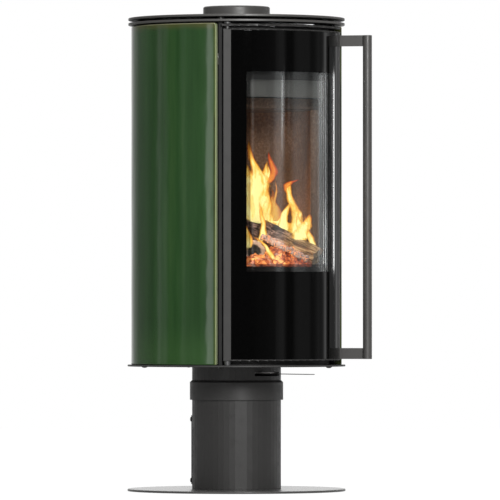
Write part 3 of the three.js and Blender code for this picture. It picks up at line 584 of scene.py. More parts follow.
def makeTop(size):
    for name, node, (inner, low, high) in (
        ("topRing", "top_ring", size["ring"]),
        ("topPlate", "top_plate", size["plate"]),
    ):
        plate = spunOutline(ringOutline(inner, size["radius"], low, high))
        softenEdges(plate, size["edge"], 3)
        showPiece(name, plate, "stove", [satinPaintLitCopy], [node], slabShade)

    inner, outer, foot, high = size["flueInner"], size["flueOuter"], size["flueFoot"], size["flueHigh"]
    flange, overFlange = size["flueFlange"], foot + size["flangeThickness"]
    edge, chamfer = size["flueEdge"], size["flueChamfer"]
    outline = [(inner, foot), (flange, foot), (flange, overFlange), (outer, overFlange)]
    for step in range(7):
        turn = math.radians(15 * step)
        outline.append((outer - edge + edge * math.cos(turn), high - edge + edge * math.sin(turn)))
    outline += [(inner + chamfer, high), (inner, high - chamfer)]
    collar = spunOutline(outline, steps=120)
    showPiece("flueCollar", collar, "stove", [satinPaintLitCopy], ["flue_collar"])
    showPiece("frontRail", copyOfNode("front_rail"), "stove", [satinPaint], ["front_rail"])


makeTop(topSize)
print("top made")


# the door: frame, printed pane with its clear window, inner pane, retainer and rope


def cutAcross(bm, point, normal, **options):
    everything = bm.verts[:] + bm.edges[:] + bm.faces[:]
    bmesh.ops.bisect_plane(bm, geom=everything, plane_co=point, plane_no=normal, **options)


def makePane(size):
    pane = curvedSlab(size)
    for height in (size["windowLow"], size["windowHigh"]):
        cutAcross(pane, (0, 0, height * mm), (0, 0, 1))
    for side in (-1, 1):
        cutAcross(pane, (0, 0, 0), planDirection(side * size["windowHalfAngle"] + 90))
    sideEdge = math.radians(size["windowHalfAngle"])
    for face in pane.faces:
        middle = face.calc_center_median()
        turn = abs(math.atan2(middle.x, -middle.y))
        between = size["windowLow"] * mm < middle.z < size["windowHigh"] * mm
        face.material_index = 1 if between and turn < sideEdge else 0
    finish = [printedGlass, outerClear]
    showPiece("printedPane", pane, "door", finish, ["outer_glass"], slabShade)


makePane(paneSize)

innerPaneSize = {
    "outer": 228.4,
    "inner": 223.9,
    "low": 470,
    "high": 955,
    "halfAngle": 34.95,
    "steps": 70,
    "edge": 0.5,
}
innerPane = curvedSlab(innerPaneSize)
showPiece("innerPane", innerPane, "door", [innerClear], ["inner_glass"], slabShade)
for node, name, material, slotName in (
    ("door_frame", "doorFrame", satinPaint, "satin_paint"),
    ("inner_glass_retainer", "paneRetainer", darkPaint, "satin_paint"),
    ("seal_rope", "sealRope", rope, "seal_fibre"),
):
    showPiece(name, copyOfNode(node), "door", [material], [node])
print("door made")


# the handle: two flat arms and a round bar

handleSize = {
    "side": 40.8,
    "barMiddle": 301.3,
    "barRadius": 10.2,
    "barLow": 297,
    "barHigh": 1022.2,
    "barSides": 64,
    "barEdge": 0.9,
    "armEdge": 0.5,
}


def makeHandle(size):
    bar = bmesh.new()
    length = (size["barHigh"] - size["barLow"]) * mm
    middle = planDirection(size["side"]) * (size["barMiddle"] * mm)
    middle.z = size["barLow"] * mm + length / 2
    bmesh.ops.create_cone(
        bar,
        cap_ends=True,
        segments=size["barSides"],
        radius1=size["barRadius"] * mm,
        radius2=size["barRadius"] * mm,
        depth=length,
        matrix=Matrix.Translation(middle),
    )
    softenEdges(bar, size["barEdge"], 3)
    showPiece("handleBar", bar, "door", [satinPaintLitCopy], ["handle_bar"], slabShade)
    for node, name in (("handle_arm_bottom", "handleArmBottom"), ("handle_arm_top", "handleArmTop")):
        arm = copyOfNode(node)
        bmesh.ops.dissolve_limit(arm, angle_limit=math.radians(1), verts=arm.verts, edges=arm.edges)
        softenEdges(arm, size["armEdge"], 2)
        showPiece(name, arm, "door", [satinPaintLitCopy], [node], slabShade)


makeHandle(handleSize)
print("handle made")


# inside: firebox, lining, baffles and the fixed frame behind the door

insideFinish = (
    (darkPaint, "satin_paint", ("front_frame", "firebox_shell", "firebox_crown")),
    (brick, "fire_brick", ("hearth_floor",)),
    (iron, "cast_iron", ("grate",)),
    (brick, "fire_brick", ("lining_right", "lining_rear", "lining_left")),
    (iron, "cast_iron", ("log_guard",)),
    (brickShadedBelow, "fire_brick", ("baffle_lower",)),
    (sootySteel, "plain_steel", ("baffle_upper", "air_wash_deflector")),
    (darkPaint, "satin_paint", ("air_duct", "ash_shelf")),
    (plainSteel, "plain_steel", ("retaining_sleeve", "air_port_plate", "tile_hoop")),
)


def inCamel(node):
    first, *rest = node.split("_")
    return first + "".join(word.capitalize() for word in rest) + "Smooth"


for material, slotName, nodes in insideFinish:
    for node in nodes:
        showPiece(inCamel(node), copyOfNode(node), "stove", [material], [node])
print("inside made")


# CAD nodes that stay as they are get their own finish

corners = ("front_left", "front_right", "rear_left", "rear_right")
plainNodes = {
    plainSteel: ["bearing_seat", "air_shutter", "ash_pan", "catch_bracket", "catch_roller", "catch_tongue"],
    glidePlastic: ["glide_ring"],
    pinSteel: ["hinge_pin_bottom", "hinge_pin_top"],
    postPaintedShade: ["corner_post_" + corner for corner in corners],
    satinPaint: [
        "air_lever",
        *("bottom_bolt_" + corner for corner in corners),
        *(f"top_spacer_{number}" for number in (1, 2, 3, 4)),
    ],
}
for material, nodes in plainNodes.items():
    for node in nodes:
        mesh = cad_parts[node].data
        mesh.materials.clear()
        mesh.materials.append(material)
print("CAD nodes finished")


# the fire: split logs, burnt lumps, ember heaps and flames, all inside the firebox

woodTones = {
    "burnt": [(0.44, (0.014, 0.008, 0.008)), (0.51, (0.085, 0.048, 0.044)), (0.59, (0.56, 0.40, 0.37))],
    "bare": [(0.38, (0.060, 0.032, 0.015)), (0.48, (0.34, 0.20, 0.085)), (0.60, (0.78, 0.58, 0.32))],
    "crack": (0.012, 0.007, 0.006),
    "glow": (1.0, 0.22, 0.03),
    "sawn": [(0.3, (0.20, 0.12, 0.06)), (0.5, (0.40, 0.28, 0.16)), (0.75, (0.14, 0.09, 0.06))],
    "coal": [(0.3, 0.006), (0.7, 0.035)],
    "coalRim": (0.62, 0.52, 0.49),
}


def charredWood(tones):
    # split firewood: fibres along the log, charred into blocks at the hot end, bare wood at the other
    s = startMaterial("charredWood")
    own = s.node("Attribute", attribute_name="logSpot").outputs["Vector"]
    fibres = s.node("Mapping", {"Vector": own, "Scale": (1, 1, 0.09)}).outputs["Vector"]
    grain = s.noise(fibres, 260, 5, 0.65, 0.6)
    blocks = s.cells(s.blend(0.02, own, s.noiseColour(own, 40)), 75, "DISTANCE_TO_EDGE")
    place = s.where()
    ash = s.noise(place, 34, 6, 0.7)
    burnt = s.ramp(s.plus(s.times(ash, 0.55), s.times(grain, 0.45)), tones["burnt"])
    wander = s.times(s.minus(ash, 0.5), 0.5)
    toBare = s.span(s.plus(s.attribute("alongLog"), wander), 0.70, 0.84, 0, 1, True)
    colour = s.blend(toBare, burnt, s.ramp(grain, tones["bare"]))
    crack = s.times(s.span(blocks, 0.0, 0.09, 1, 0, True), s.span(toBare, 0.0, 1.0, 0.85, 0.15))
    lowDown = s.span(s.axes(place)["Z"], 0.520, 0.575, 1, 0, True)
    return s.painted(
        Base_Color=s.blend(crack, colour, tones["crack"]),
        Roughness=0.92,
        Normal=s.bump(s.plus(s.times(blocks, 0.6), grain), 0.7, 0.004),
        Emission_Color=tones["glow"],
        Emission_Strength=s.times(crack, lowDown, 1.5),
    )


def sawnEnd(tones):
    # the end grain of a log, in pale and scorched patches
    s = startMaterial("sawnEnd")
    rings = s.noise(s.where(), 70, 5, 0.6, 1.2)
    return s.painted(
        Base_Color=s.ramp(rings, tones["sawn"]), Roughness=0.9, Normal=s.bump(rings, 0.4, 0.003)
    )


def coalEnd(tones):
    # a burnt-through log end: black inside a ring of pale ash
    s = startMaterial("coalEnd")
    ash = s.noise(s.where(), 90, 5, 0.7)
    rim = s.span(s.plus(s.attribute("fromHeart"), s.times(ash, 0.3)), 0.66, 0.88, 0, 1, True)
    colour = s.blend(rim, s.ramp(ash, tones["coal"]), tones["coalRim"])
    return s.painted(Base_Color=colour, Roughness=0.95, Normal=s.bump(ash, 0.6, 0.004))


emberTones = {
    "flakes": [(0.34, (0.10, 0.055, 0.050)), (0.5, (0.42, 0.30, 0.28)), (0.66, (0.75, 0.62, 0.58))],
    "flakeGlow": (1.0, 0.30, 0.05),
    "bed": [(0.3, (0.16, 0.09, 0.08)), (0.5, (0.05, 0.02, 0.015))],
    "crumbs": (0.60, 0.46, 0.42),
    "glow": [
        (0.0, (0.55, 0.03, 0.004)), (0.3, (0.90, 0.12, 0.016)), (0.6, (1.0, 0.25, 0.06)),
        (0.85, (1.0, 0.36, 0.10)), (1.0, (1.0, 0.60, 0.18)),
    ],
    "strength": 2.0,
}


def ashCrust(tones):
    # char that has turned to pale, pinkish ash, still red hot in its cracks
    s = startMaterial("ashCrust")
    place = s.where()
    flake = s.noise(place, 130, 5, 0.7)
    cracks = s.span(s.cells(place, 120, "DISTANCE_TO_EDGE"), 0.0, 0.10, 1, 0, True)
    hot = s.times(cracks, s.span(flake, 0.42, 0.56, 1, 0, True))
    return s.painted(
        Base_Color=s.ramp(flake, tones["flakes"]),
        Roughness=0.95,
        Normal=s.bump(flake, 0.6, 0.004),
        Emission_Color=tones["flakeGlow"],
        Emission_Strength=s.times(hot, tones["strength"]),
    )


def emberBed(tones):
    # glowing embers crossed by dark cracks, with crumbs of pale ash
    s = startMaterial("emberBed")
    place = s.where()
    lumps = s.cells(s.blend(0.06, place, s.noiseColour(place, 22)), 52, "DISTANCE_TO_EDGE")
    heat = s.noise(place, 24, 6, 0.7, 0.8)
    pale = s.times(s.span(s.noise(place, 60, 4, 0.6), 0.55, 0.64, 0, 1, True), 0.8)
    hot = s.times(s.span(heat, 0.34, 0.62, 0, 1, True), s.span(lumps, 0.0, 0.07, 0.16, 1, True))
    overFoot = s.span(s.axes(place)["Z"], 0.496, 0.512, 0, 1, True)
    glow = s.times(hot, overFoot, s.span(pale, 0.0, 0.8, 1, 0.45))
    return s.painted(
        Base_Color=s.blend(pale, s.ramp(heat, tones["bed"]), tones["crumbs"]),
        Roughness=0.95,
        Normal=s.bump(s.plus(lumps, heat), 0.6, 0.008),
        Emission_Color=s.ramp(glow, tones["glow"]),
        Emission_Strength=s.times(glow, tones["strength"]),
    )


def flameGlow(name, heart, middle, skin, rim, body):
    # a flame: pale at its heart, orange towards its skin, ragged and thin at its edge and tip
    s = startMaterial(name)
    lick = s.span(s.noise(s.where((1, 1, 0.26)), 85, 4, 0.6, 0.8), 0.32, 0.68, -0.5, 0.5)
    broad = s.span(s.noise(s.where((1, 1, 0.45)), 34, 3, 0.55, 0.6), 0.32, 0.68, -0.5, 0.5)
    up = s.attribute("alongFlame")
    out = s.attribute("fromCore")
    cooling = s.plus(s.times(s.maths("POWER", out, 1.6), 0.62), s.times(s.maths("POWER", up, 1.8), 0.62))
    cooling = s.plus(cooling, s.maths("MULTIPLY_ADD", lick, 0.42, s.times(broad, 0.38)))
    tint = s.ramp(cooling, [(0.0, heart), (0.12, heart), (0.36, middle), (0.66, skin), (0.95, rim)])
    ragged = s.plus(out, s.maths("MULTIPLY_ADD", lick, 0.34, s.times(broad, 0.22)))
    edge = s.span(ragged, 0.45, 1.0, 1, 0)
    tip = s.span(s.plus(up, s.times(lick, 0.3)), 0.62, 1.0, 1, 0)
    foot = s.span(up, 0.0, 0.14, 0, 1, True)
    share = s.times(s.times(edge, tip), s.times(foot, body))
    glow = s.node("Emission", {"Color": tint, "Strength": 1.0})
    return s.finish(s.mixed(share, s.node("BsdfTransparent").outputs[0], glow.outputs[0]))


char = charredWood(woodTones)
logEnds = {"wood": sawnEnd(woodTones), "coal": coalEnd(woodTones)}
crust = ashCrust(emberTones)
embers = emberBed(emberTones)
bright = flameGlow(
    "flameBright", (1.9, 1.60, 0.62), (1.8, 1.05, 0.17), (1.5, 0.48, 0.05), (0.9, 0.15, 0.02), 0.97
)
amber = flameGlow(
    "flameAmber", (1.3, 0.70, 0.14), (1.15, 0.42, 0.07), (0.9, 0.22, 0.04), (0.6, 0.08, 0.02), 0.72
)
red = flameGlow(
    "flameRed", (1.5, 0.45, 0.07), (1.2, 0.20, 0.04), (0.8, 0.08, 0.03), (0.5, 0.04, 0.02), 0.66
)


def cameraAxes():
    # to the photographer's right, and towards the camera
    side = math.radians(cameraSetup["side"])
    return Vector((math.cos(side), math.sin(side), 0)), Vector((math.sin(side), -math.cos(side), 0))


def fireSpot(across, towards, height):
    right, near = cameraAxes()
    return (right * across + near * towards + Vector((0, 0, height))) * mm


def showFire(name, bm, materials, sharpFrom=60):
    showPiece(name, bm, "stove", materials, (), sharpFrom, False)


# ends as (across, towards the camera, height), two radii, and the flats where the log was split, as
# (degrees round it, share of its radius)
fireLogs = [
    {"name": "logMain", "from": (-66, -58, 637), "to": (181, 74, 526), "wide": (35, 19), "roll": 0,
     "seed": 3, "end": "wood", "flats": ((20, 0.86), (118, 0.74), (205, 0.90), (300, 0.78))},
    {"name": "logUnder", "from": (4, -104, 528), "to": (39, 100, 537), "wide": (26, 24), "roll": 10,
     "seed": 19, "end": "coal", "flats": ((60, 0.92),)},
    {"name": "logFloor", "from": (66, -90, 512), "to": (168, 46, 509), "wide": (22, 20), "roll": 80,
     "seed": 27, "end": "coal", "flats": ((10, 0.8), (150, 0.85))},
    {"name": "logBack", "from": (-96, 46, 580), "to": (96, -96, 590), "wide": (27, 24), "roll": 50,
     "seed": 11, "end": "wood", "flats": ((80, 0.75), (200, 0.8))},
]
# insets are shares of the thinner radius; chunks and fibres are (noise across, noise along, depth)
logShape = {
    "sides": 72,
    "cuts": 110,
    "insets": (0.22, 0.25, 0.30, 0.45),
    "widest": 1.08,
    "flatWander": (9, 0.25),
    "flatRound": 1.1,
    "chunks": (70, 16, 0.09),
    "fibres": (420, 60, 0.035),
    "endRough": (120, 0.004),
}


def makeLog(log, shape):
    start, end = fireSpot(*log["from"]), fireSpot(*log["to"])
    along = end - start
    first, second = log["wide"]
    bm = bmesh.new()
    alongLog = bm.verts.layers.float.new("alongLog")
    fromHeart = bm.verts.layers.float.new("fromHeart")
    logSpot = bm.verts.layers.float_vector.new("logSpot")
    bmesh.ops.create_cone(
        bm,
        cap_ends=True,
        segments=shape["sides"],
        radius1=first * mm,
        radius2=second * mm,
        depth=along.length,
    )
    for share in shape["insets"]:
        caps = [f for f in bm.faces if len(f.verts) > 4]
        bmesh.ops.inset_region(bm, faces=caps, thickness=share * min(first, second) * mm)
    sides = [e for e in bm.edges if abs(e.verts[0].co.z - e.verts[1].co.z) > 0.5 * along.length]
    bmesh.ops.subdivide_edges(bm, edges=sides, cuts=shape["cuts"], use_grid_fill=True)
    seed = Vector((log["seed"], 2 * log["seed"], 0))
    wander, wanderBy = shape["flatWander"]
    chunk, chunkLong, chunkDeep = shape["chunks"]
    fibre, fibreLong, fibreDeep = shape["fibres"]
    endRough, endDeep = shape["endRough"]
    for vert in bm.verts:
        x, y, z = vert.co
        up = z / along.length + 0.5
        vert[alongLog] = up
        vert[fromHeart] = Vector((x, y)).length / ((first * (1 - up) + second * up) * mm)
        turn = math.atan2(y, x)
        share = shape["widest"]
        for side, flat in log["flats"]:
            bent = wanderBy * noise.noise(Vector((z * wander, side, 0)))
            facing = math.cos(turn - math.radians(side) - bent)
            if facing > 0:
                share = min(share, flat * shape["flatRound"] / facing)
        chunky = noise.fractal(Vector((x * chunk, y * chunk, z * chunkLong)) + seed, 0.9, 2.1, 6)
        fine = noise.noise(Vector((x * fibre, y * fibre, z * fibreLong)) + seed)
        share *= 1 + chunkDeep * chunky + fibreDeep * fine
        vert.co.x *= share
        vert.co.y *= share
        vert[logSpot] = vert.co + seed * 0.01
        vert.co.z += endDeep * noise.noise(Vector((vert.co.x, vert.co.y, 0)) * endRough + seed)
    for face in bm.faces:
        isEnd = abs(face.normal.z) > 0.5 and abs(face.calc_center_median().z) > 0.49 * along.length
        face.material_index = 1 if isEnd else 0
    bm.normal_update()
    aim = along.to_track_quat("Z", "Y").to_matrix().to_4x4()
    place = Matrix.Translation((start + end) / 2) @ aim @ Matrix.Rotation(math.radians(log["roll"]), 4, "Z")
    bmesh.ops.transform(bm, matrix=place, verts=bm.verts)
    showFire(log["name"], bm, [char, logEnds[log["end"]]])


for log in fireLogs:
    makeLog(log, logShape)

# burnt lumps under the main log, along a line of (across, towards the camera, height)
charLumps = {
    "from": (58, 96, 572),
    "to": (156, 108, 522),
    "count": 17,
    "size": 7.0,
    "sizeSpread": 0.5,
    "stretch": (0.75, 1, 1.25),
    "stray": (6, 5),
    "turnSpread": 30,
    "tilt": 24,
    "blocky": (0.45, 0.42),
    "rough": 0.16,
    "seed": 41,
}


def makeCharLumps(lumps):
    start, end = Vector(lumps["from"]), Vector(lumps["to"])
    near, high = lumps["stray"]
    plain, cubic = lumps["blocky"]
    whole = bmesh.new()
    for number in range(lumps["count"]):
        share = number / (lumps["count"] - 1)
        seed = Vector((lumps["seed"] + 3 * number, number, 7))
        spot = start.lerp(end, share) + Vector((0, near * noise.noise(seed), high * noise.noise(seed * 1.7)))
        made = bmesh.ops.create_icosphere(whole, subdivisions=4, radius=1)["verts"]
        size = lumps["size"] * (1 + lumps["sizeSpread"] * noise.noise(seed * 2.3))
        side = cameraSetup["side"] + lumps["turnSpread"] * noise.noise(seed)
        lean = lumps["tilt"] + lumps["turnSpread"] * noise.noise(seed * 3.1)
        turn = Matrix.Rotation(math.radians(side), 4, "Z")
        tilt = Matrix.Rotation(math.radians(lean), 4, "Y")
        for vert in made:
            widest = max(abs(part) for part in vert.co)
            rough = 1 + lumps["rough"] * noise.fractal(vert.co * 2.4 + seed, 0.9, 2.1, 5)
            vert.co *= (plain + cubic / widest) * rough
        stretch = Matrix.Diagonal((*(size * part * mm for part in lumps["stretch"]), 1))
        place = Matrix.Translation(fireSpot(*spot)) @ turn @ tilt @ stretch
        bmesh.ops.transform(whole, matrix=place, verts=made)
    showFire("charLumps", whole, [crust])


makeCharLumps(charLumps)

# name, (across, towards the camera, height of the foot), (half width, half depth, height), seed
emberHeaps = [
    ("emberHeap", (104, 62, 491), (66, 46, 57), 5),
    ("emberHeapLeft", (50, 98, 491), (56, 34, 39), 9),
    ("emberHeapRear", (40, -30, 491), (92, 62, 42), 14),
    ("emberHeapSide", (-46, 14, 491), (68, 60, 33), 23),
]
heapRough = {"wide": 0.10, "high": 0.16, "lumps": 0.10}


def makeEmbers(name, foot, size, seed, rough):
    bm = bmesh.new()
    bmesh.ops.create_icosphere(bm, subdivisions=6, radius=1)
    cutAcross(bm, (0, 0, 0), (0, 0, -1), clear_outer=True)
    bmesh.ops.contextual_create(bm, geom=[e for e in bm.edges if e.is_boundary])
    for vert in bm.verts:
        uneven = noise.fractal(vert.co * 4.5 + Vector((seed, 0, 0)), 0.8, 2.2, 6)
        lump = noise.noise(vert.co * 9 + Vector((0, seed, 0)))
        vert.co.x *= 1 + rough["wide"] * uneven
        vert.co.y *= 1 + rough["wide"] * uneven
        vert.co.z *= 1 + rough["high"] * uneven + rough["lumps"] * lump
    stretch = Matrix.Diagonal((*(length * mm for length in size), 1))
    turn = Matrix.Rotation(math.radians(cameraSetup["side"]), 4, "Z")
    place = Matrix.Translation(fireSpot(*foot)) @ turn @ stretch
    bmesh.ops.transform(bm, matrix=place, verts=bm.verts)
    showFire(name, bm, [embers])


for heap in emberHeaps:
    makeEmbers(*heap, heapRough)

# name, side licks, distance towards the camera, glow, and a line of (across, height, half width)
flames = [
    ("flameTongue", 2, 4, bright, [
        (44, 560, 22), (47, 620, 25), (48, 676, 23), (49, 704, 18), (45, 722, 10), (38, 741, 7.5),
        (31, 760, 6.5), (27.5, 772, 4.5), (28, 786, 1)]),
    ("flameLeftEdge", 2, -2, bright, [
        (22, 566, 18), (27, 630, 18), (28, 690, 14), (26, 714, 9), (23, 734, 1)]),
    ("flameMiddle", 3, -6, bright, [
        (66, 560, 16), (64, 620, 14), (62, 684, 13), (63, 710, 10), (66, 726, 6.5), (72, 742, 1)]),
    ("flameWisp", 0, -4, red, [
        (68, 690, 5), (78, 702, 8), (84, 718, 8), (80, 736, 5.5), (73, 752, 3.5), (71, 762, 1)]),
    ("flameAmberLow", 3, -14, amber, [
        (88, 596, 14), (90, 620, 12), (86, 640, 9), (80, 654, 7), (82, 668, 4), (78, 682, 1)]),
    ("flameFoot", 3, -12, bright, [
        (62, 588, 9), (74, 604, 17), (90, 606, 20), (106, 600, 20), (124, 592, 16), (144, 578, 3)]),
    ("flameCurl", 0, 30, bright, [
        (132, 560, 18), (134, 588, 17), (136, 610, 13), (133, 630, 10), (125, 650, 8), (117, 668, 7),
        (114, 682, 7.5), (118, 692, 5), (123, 697, 1)]),
    ("flameCurlTip", 0, 31, red, [
        (111, 672, 4), (113, 686, 8), (121, 694, 8), (131, 697, 5), (140, 700, 1)]),
    ("flameRingLeft", 0, 2, bright, [
        (112, 570, 11), (106, 596, 10), (106, 616, 8), (112, 632, 6.5), (121, 646, 4), (126, 654, 1)]),
    ("flameLobe", 2, 46, bright, [
        (136, 548, 18), (144, 576, 19), (152, 594, 16), (159, 606, 11), (163, 615, 6.5), (165, 624, 1)]),
    ("flameRight", 0, 56, bright, [
        (176, 536, 3), (173, 552, 6), (168, 566, 6.5), (162, 577, 5), (160, 590, 1)]),
    ("flameOverLog", 0, 62, bright, [
        (50, 556, 7), (58, 572, 8), (61, 592, 6), (58, 610, 5), (54, 628, 4), (50, 648, 1)]),
    ("flameLow", 0, 122, bright, [
        (84, 518, 5), (76, 532, 7), (66, 546, 5.5), (56, 558, 4.5), (46, 566, 3), (38, 569, 1)]),
    ("flameCorner", 0, 112, bright, [
        (26, 544, 5), (28, 558, 9), (26, 574, 7), (22, 588, 3), (20, 596, 1)]),
    ("flameRearTall", 3, -24, bright, [
        (-8, 548, 16), (-10, 600, 20), (-14, 660, 15), (-8, 706, 9), (-12, 742, 1)]),
    ("flameSide", 2, 26, bright, [
        (-50, 566, 8), (-53, 594, 12), (-58, 622, 9), (-52, 648, 5), (-49, 672, 1)]),
    ("flameSideLow", 1, 0, amber, [
        (-88, 512, 9), (-86, 540, 11), (-92, 572, 7), (-88, 596, 1)]),
]
flameShape = {
    "sides": 24,
    "steps": 8,
    "thinnest": 0.5,
    "widen": 1.12,
    "swell": 0.34,
    "sway": 3.4,
    "fray": 0.16,
    "flatness": 0.5,
    "lean": 0.62,
    "rise": 40,
    "lickPlaces": (0.10, 0.16, 0.10, 0.80),
    "lick": ((0.1, -0.3, 0.50), (0.8, 0.20, 0.50), (1.25, 0.55, 0.26)),
    "lickTip": 0.6,
}


def rimOf(ring):
    return list({e for v in ring for e in v.link_edges if e.other_vert(v) in ring})


def growFlame(bm, line, towards, seed, layers, shape):
    # one tongue: rings pulled up along a smooth line through the given points
    alongFlame, fromCore = layers
    ring = bmesh.ops.create_circle(bm, cap_ends=False, segments=shape["sides"], radius=1)["verts"]
    spread = [(v.co.x, v.co.y) for v in ring]
    right, near = cameraAxes()
    fine = shape["steps"]
    steps = fine * (len(line) - 1)
    rings = []
    for step in range(steps + 1):
        if step:
            grown = bmesh.ops.extrude_edge_only(bm, edges=rimOf(ring))["geom"]
            fresh = {g for g in grown if isinstance(g, bmesh.types.BMVert)}
            ring = [next(e.other_vert(v) for e in v.link_edges if e.other_vert(v) in fresh) for v in ring]
        index = min(step // fine, len(line) - 2)
        part = step / fine - index
        before, first = line[max(index - 1, 0)], line[index]
        second, after = line[index + 1], line[min(index + 2, len(line) - 1)]
        across, height, wide = (
            b + part * (c - a + part * (2 * a - 5 * b + 4 * c - d + part * (3 * b - a - 3 * c + d))) / 2
            for a, b, c, d in zip(before, first, second, after)
        )
        swell = shape["swell"] * noise.noise(Vector((9, 0, height * 0.065)) + seed)
        wide = max(shape["thinnest"], wide * (shape["widen"] + swell))
        sway = shape["sway"] * noise.noise(Vector((0, 0, height * 0.045)) + seed)
        across += sway * min(1, step / steps * 2)
        for vert, (sideways, deep) in zip(ring, spread):
            rough = noise.noise(Vector((sideways * 2, deep * 2, height * 0.11)) + seed)
            reach = wide * (1 + shape["fray"] * rough) * mm
            vert.co = fireSpot(across, towards, height)
            vert.co += right * (sideways * reach) + near * (deep * wide * shape["flatness"] * mm)
            vert[alongFlame] = step / steps
            vert[fromCore] = abs(sideways)
        rings.append(ring)
    for closing in (rings[0], rings[-1]):
        bmesh.ops.contextual_create(bm, geom=rimOf(closing))


def makeFlame(name, licks, towards, glow, line, shape):
    bm = bmesh.new()
    layers = (bm.verts.layers.float.new("alongFlame"), bm.verts.layers.float.new("fromCore"))
    seed = Vector((line[0][0] * 0.02, 3.1 * len(name), towards))
    growFlame(bm, line, towards, seed, layers, shape)
    # short side licks make the outline ragged; their places are shares of the way up the flame
    first, gap, stray, last = shape["lickPlaces"]
    for number in range(licks):
        places = [Vector((number * 1.37 + 0.4, index + 0.5, 0.3)) for index in range(3)]
        chance = [0.5 + noise.noise(place + seed) for place in places]
        spot = min(max(first + gap * number + stray * chance[0], 0), last) * (len(line) - 1)
        part = spot - int(spot)
        across, height, wide = (a + (b - a) * part for a, b in zip(line[int(spot)], line[int(spot) + 1]))
        side = 1 if (number + len(name)) % 2 else -1
        lean, rise = side * shape["lean"] * wide, shape["rise"] * (0.6 + chance[1])
        lick = [(across + out * lean, height + up * rise, half * wide) for out, up, half in shape["lick"]]
        lick.append((across + (0.7 + 0.5 * chance[2]) * lean, height + rise, shape["lickTip"]))
        growFlame(bm, lick, towards + 3 * side, seed + Vector((number, 0, 0)), layers, shape)
    bmesh.ops.recalc_face_normals(bm, faces=bm.faces)
    showFire(name, bm, [glow], 80)


for flame in flames:
    makeFlame(*flame, flameShape)
print("fire made")


# floor, studio light and the white surroundings

studio = {
    "lightLow": 0.60,
    "lightHigh": 1.60,
    "keySide": 11.6,
    "keyHeight": 16,
    "keyDistance": 4,
    "keyAim": 0.55,
    "keySize": 0.8,
    "keyPower": 118,
    "skyFrom": (0.45, 0.8),
    "sky": (0.85, 0.85, 0.85),
    "floorRadius": 7,
    "floorDrop": 0.0002,
    "floorWhite": 0.8,
    "floorBounce": 0.38,
}
# warm light from the flames behind the logs, and from the embers in front of them
fireLamps = [
    {"name": "fireLight", "power": 0.42, "colour": (1.0, 0.42, 0.14), "spot": (60, -10, 650)},
    {"name": "emberLight", "power": 0.68, "colour": (1.0, 0.74, 0.52), "spot": (72, 178, 606)},
]
# what a mirror sees round the stove: degrees from the camera, and brightness
mirroredLeft = [
    (-180, 1.40), (-173, 1.25), (-160, 0.60), (-148, 0.36), (-135, 0.18), (-116, 0.17), (-103, 0.10),
    (-98.5, 0.14), (-94, 0.50), (-89, 0.28), (-84, 0.34), (-79, 0.06), (-68, 0.05), (-63.5, 0.12),
    (-60, 0.30), (-56, 0.18), (-40, 0.14), (-36, 0.20), (-33.6, 0.30), (-31.8, 1.8), (-27.5, 1.7),
    (-24, 0.40), (-12, 0.03),
]
mirroredRight = [
    (-12, 0.03), (17.6, 0.02), (24, 0.05), (30, 0.05), (42, 0.10), (45, 0.28), (46.4, 0.28), (47, 0.75),
    (47.6, 0.36), (52, 0.38), (54.5, 0.18), (57, 0.04), (64, 0.04), (68, 0.22), (72, 0.27), (86, 0.22),
    (90, 0.09), (94, 0.10), (98, 0.17), (101.4, 0.24), (104.9, 0.18), (108.5, 0.22), (110.8, 0.42),
    (112.4, 1.00), (116.4, 1.05),
]
mirroredFar = [
    (116.4, 1.05), (118.4, 0.65), (120.5, 0.50), (125, 0.23), (130, 0.18), (136, 0.16), (139, 0.30),
    (141.7, 0.78), (144.5, 0.35), (152, 0.30), (162, 0.45), (173, 1.25), (180, 1.40),
]
# narrow bright strips, (degrees, half width, brightness), that show over part of the window's height
mirroredStrips = [
    {"from": (0.0052, 0.0060), "to": (0.0362, 0.0368), "strips": [
        (18.7, 1.1, 0.40), (100, 3.0, 0.10), (109.6, 1.6, 1.6), (121.8, 2.0, 2.2), (130.0, 1.7, 2.6),
        (134.0, 3.0, 11.0)]},
    {"from": (0.0215, 0.0300), "to": (0.0362, 0.0368), "strips": [
        (45.8, 0.5, 2.2), (53.6, 0.55, 2.8), (62, 0.4, 0.4), (72.5, 0.4, 3.2), (104.5, 6.0, 0.14),
        (112.7, 1.4, 2.4)]},
    {"from": (0.0052, 0.0060), "to": (0.0125, 0.0180), "strips": [
        (93, 1.0, 0.6), (121.2, 1.8, 4.5), (135.2, 2.0, 1.0)]},
]


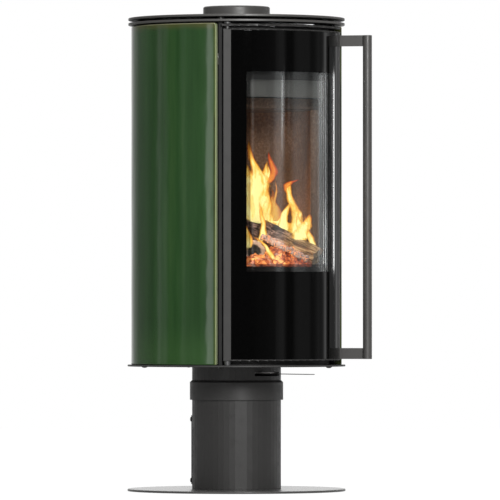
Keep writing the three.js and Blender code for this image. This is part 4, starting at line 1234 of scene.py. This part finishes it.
def makeWorld(setup):
    world = bpy.data.worlds.new("studio")
    bpy.context.scene.world = world
    world.cycles.sampling_method = "NONE"
    s = Shade(world)
    facing = {"Rotation": (0, 0, -math.radians(cameraSetup["side"]))}
    facing["Vector"] = s.node("TexCoord").outputs["Generated"]
    x, y, z = s.axes(s.node("Mapping", facing).outputs["Vector"])
    around = s.maths("ARCTAN2", x, s.times(y, -1.0))
    share = s.maths("MULTIPLY_ADD", around, 1 / (2 * math.pi), 0.5)
    left, right, far = (
        s.ramp(share, [((degrees + 180) / 360, level) for degrees, level in stops])
        for stops in (mirroredLeft, mirroredRight, mirroredFar)
    )
    level = s.blend(s.maths("GREATER_THAN", share, (180 + mirroredRight[0][0]) / 360), left, right)
    level = s.blend(s.maths("GREATER_THAN", share, (180 + mirroredFar[0][0]) / 360), level, far)
    for group in mirroredStrips:
        stops = [(0.0, 0.0)]
        for middle, half, peak in group["strips"]:
            stops += [((180 + middle + side * half) / 360, 0.0 if side else peak) for side in (-1, 0, 1)]
        shown = s.times(s.span(z, *group["from"]), s.span(z, *group["to"], 1, 0))
        strip = s.blend(shown, (0, 0, 0), s.ramp(share, stops))
        level = s.blend(1.0, level, strip, "ADD")
    level = s.blend(s.span(z, *setup["skyFrom"], 0, 1, True), level, setup["sky"])
    soft = s.span(z, 0.0, 1.0, setup["lightLow"], setup["lightHigh"])
    plain = s.node("Background", {"Color": (1, 1, 1), "Strength": soft})
    mirrored = s.node("Background", {"Color": level})
    backdrop = s.node("Background", {"Color": (1, 1, 1), "Strength": 1.0})
    path = s.node("LightPath")
    lit = s.mixed(path.outputs["Is Glossy Ray"], plain.outputs[0], mirrored.outputs[0])
    seen = s.mixed(path.outputs["Is Camera Ray"], lit, backdrop.outputs[0])
    s.node("OutputWorld", {"Surface": seen})


def makeLamp(name, kind, power):
    light = bpy.data.lights.new(name, kind)
    light.energy = power
    lamp = addObject(name, light)
    return lamp, light


def makeKeyLamp(setup):
    lamp, light = makeLamp("keySoftbox", "AREA", setup["keyPower"])
    light.shape = "DISK"
    light.size = setup["keySize"]
    height = math.radians(setup["keyHeight"])
    aim = planDirection(cameraSetup["side"] + setup["keySide"]) * math.cos(height)
    aim.z = math.sin(height)
    lamp.location = aim * setup["keyDistance"] + Vector((0, 0, setup["keyAim"]))
    lamp.rotation_euler = aim.to_track_quat("Z", "Y").to_euler()


def makeFireLamp(setup):
    lamp, light = makeLamp(setup["name"], "POINT", setup["power"])
    light.color = setup["colour"]
    light.shadow_soft_size = 0.03
    lamp.location = fireSpot(*setup["spot"])
    lamp.visible_glossy = False


def makeFloor(setup):
    bm = bmesh.new()
    bmesh.ops.create_circle(bm, cap_ends=True, segments=96, radius=setup["floorRadius"])
    bmesh.ops.translate(bm, vec=(0, 0, -setup["floorDrop"]), verts=bm.verts)
    mesh = meshFrom("studioFloor", bm)
    s = startMaterial("studioFloor")
    seen = s.node("LightPath").outputs["Is Camera Ray"]
    paper = s.ramp(s.noise(s.where(), 3, 2), [(0.2, 0.90), (0.8, 0.93)])
    dim = (setup["floorBounce"],) * 3
    matt = s.surface(Base_Color=s.blend(seen, dim, paper), Roughness=1.0, Specular_IOR_Level=0.0)
    white = s.node("Emission", {"Color": (1, 1, 1)})
    mesh.materials.append(s.finish(s.mixed(s.times(seen, setup["floorWhite"]), matt, white.outputs[0])))
    addObject("studioFloor", mesh)


makeWorld(studio)
makeKeyLamp(studio)
for fireLamp in fireLamps:
    makeFireLamp(fireLamp)
makeFloor(studio)
print("studio made")
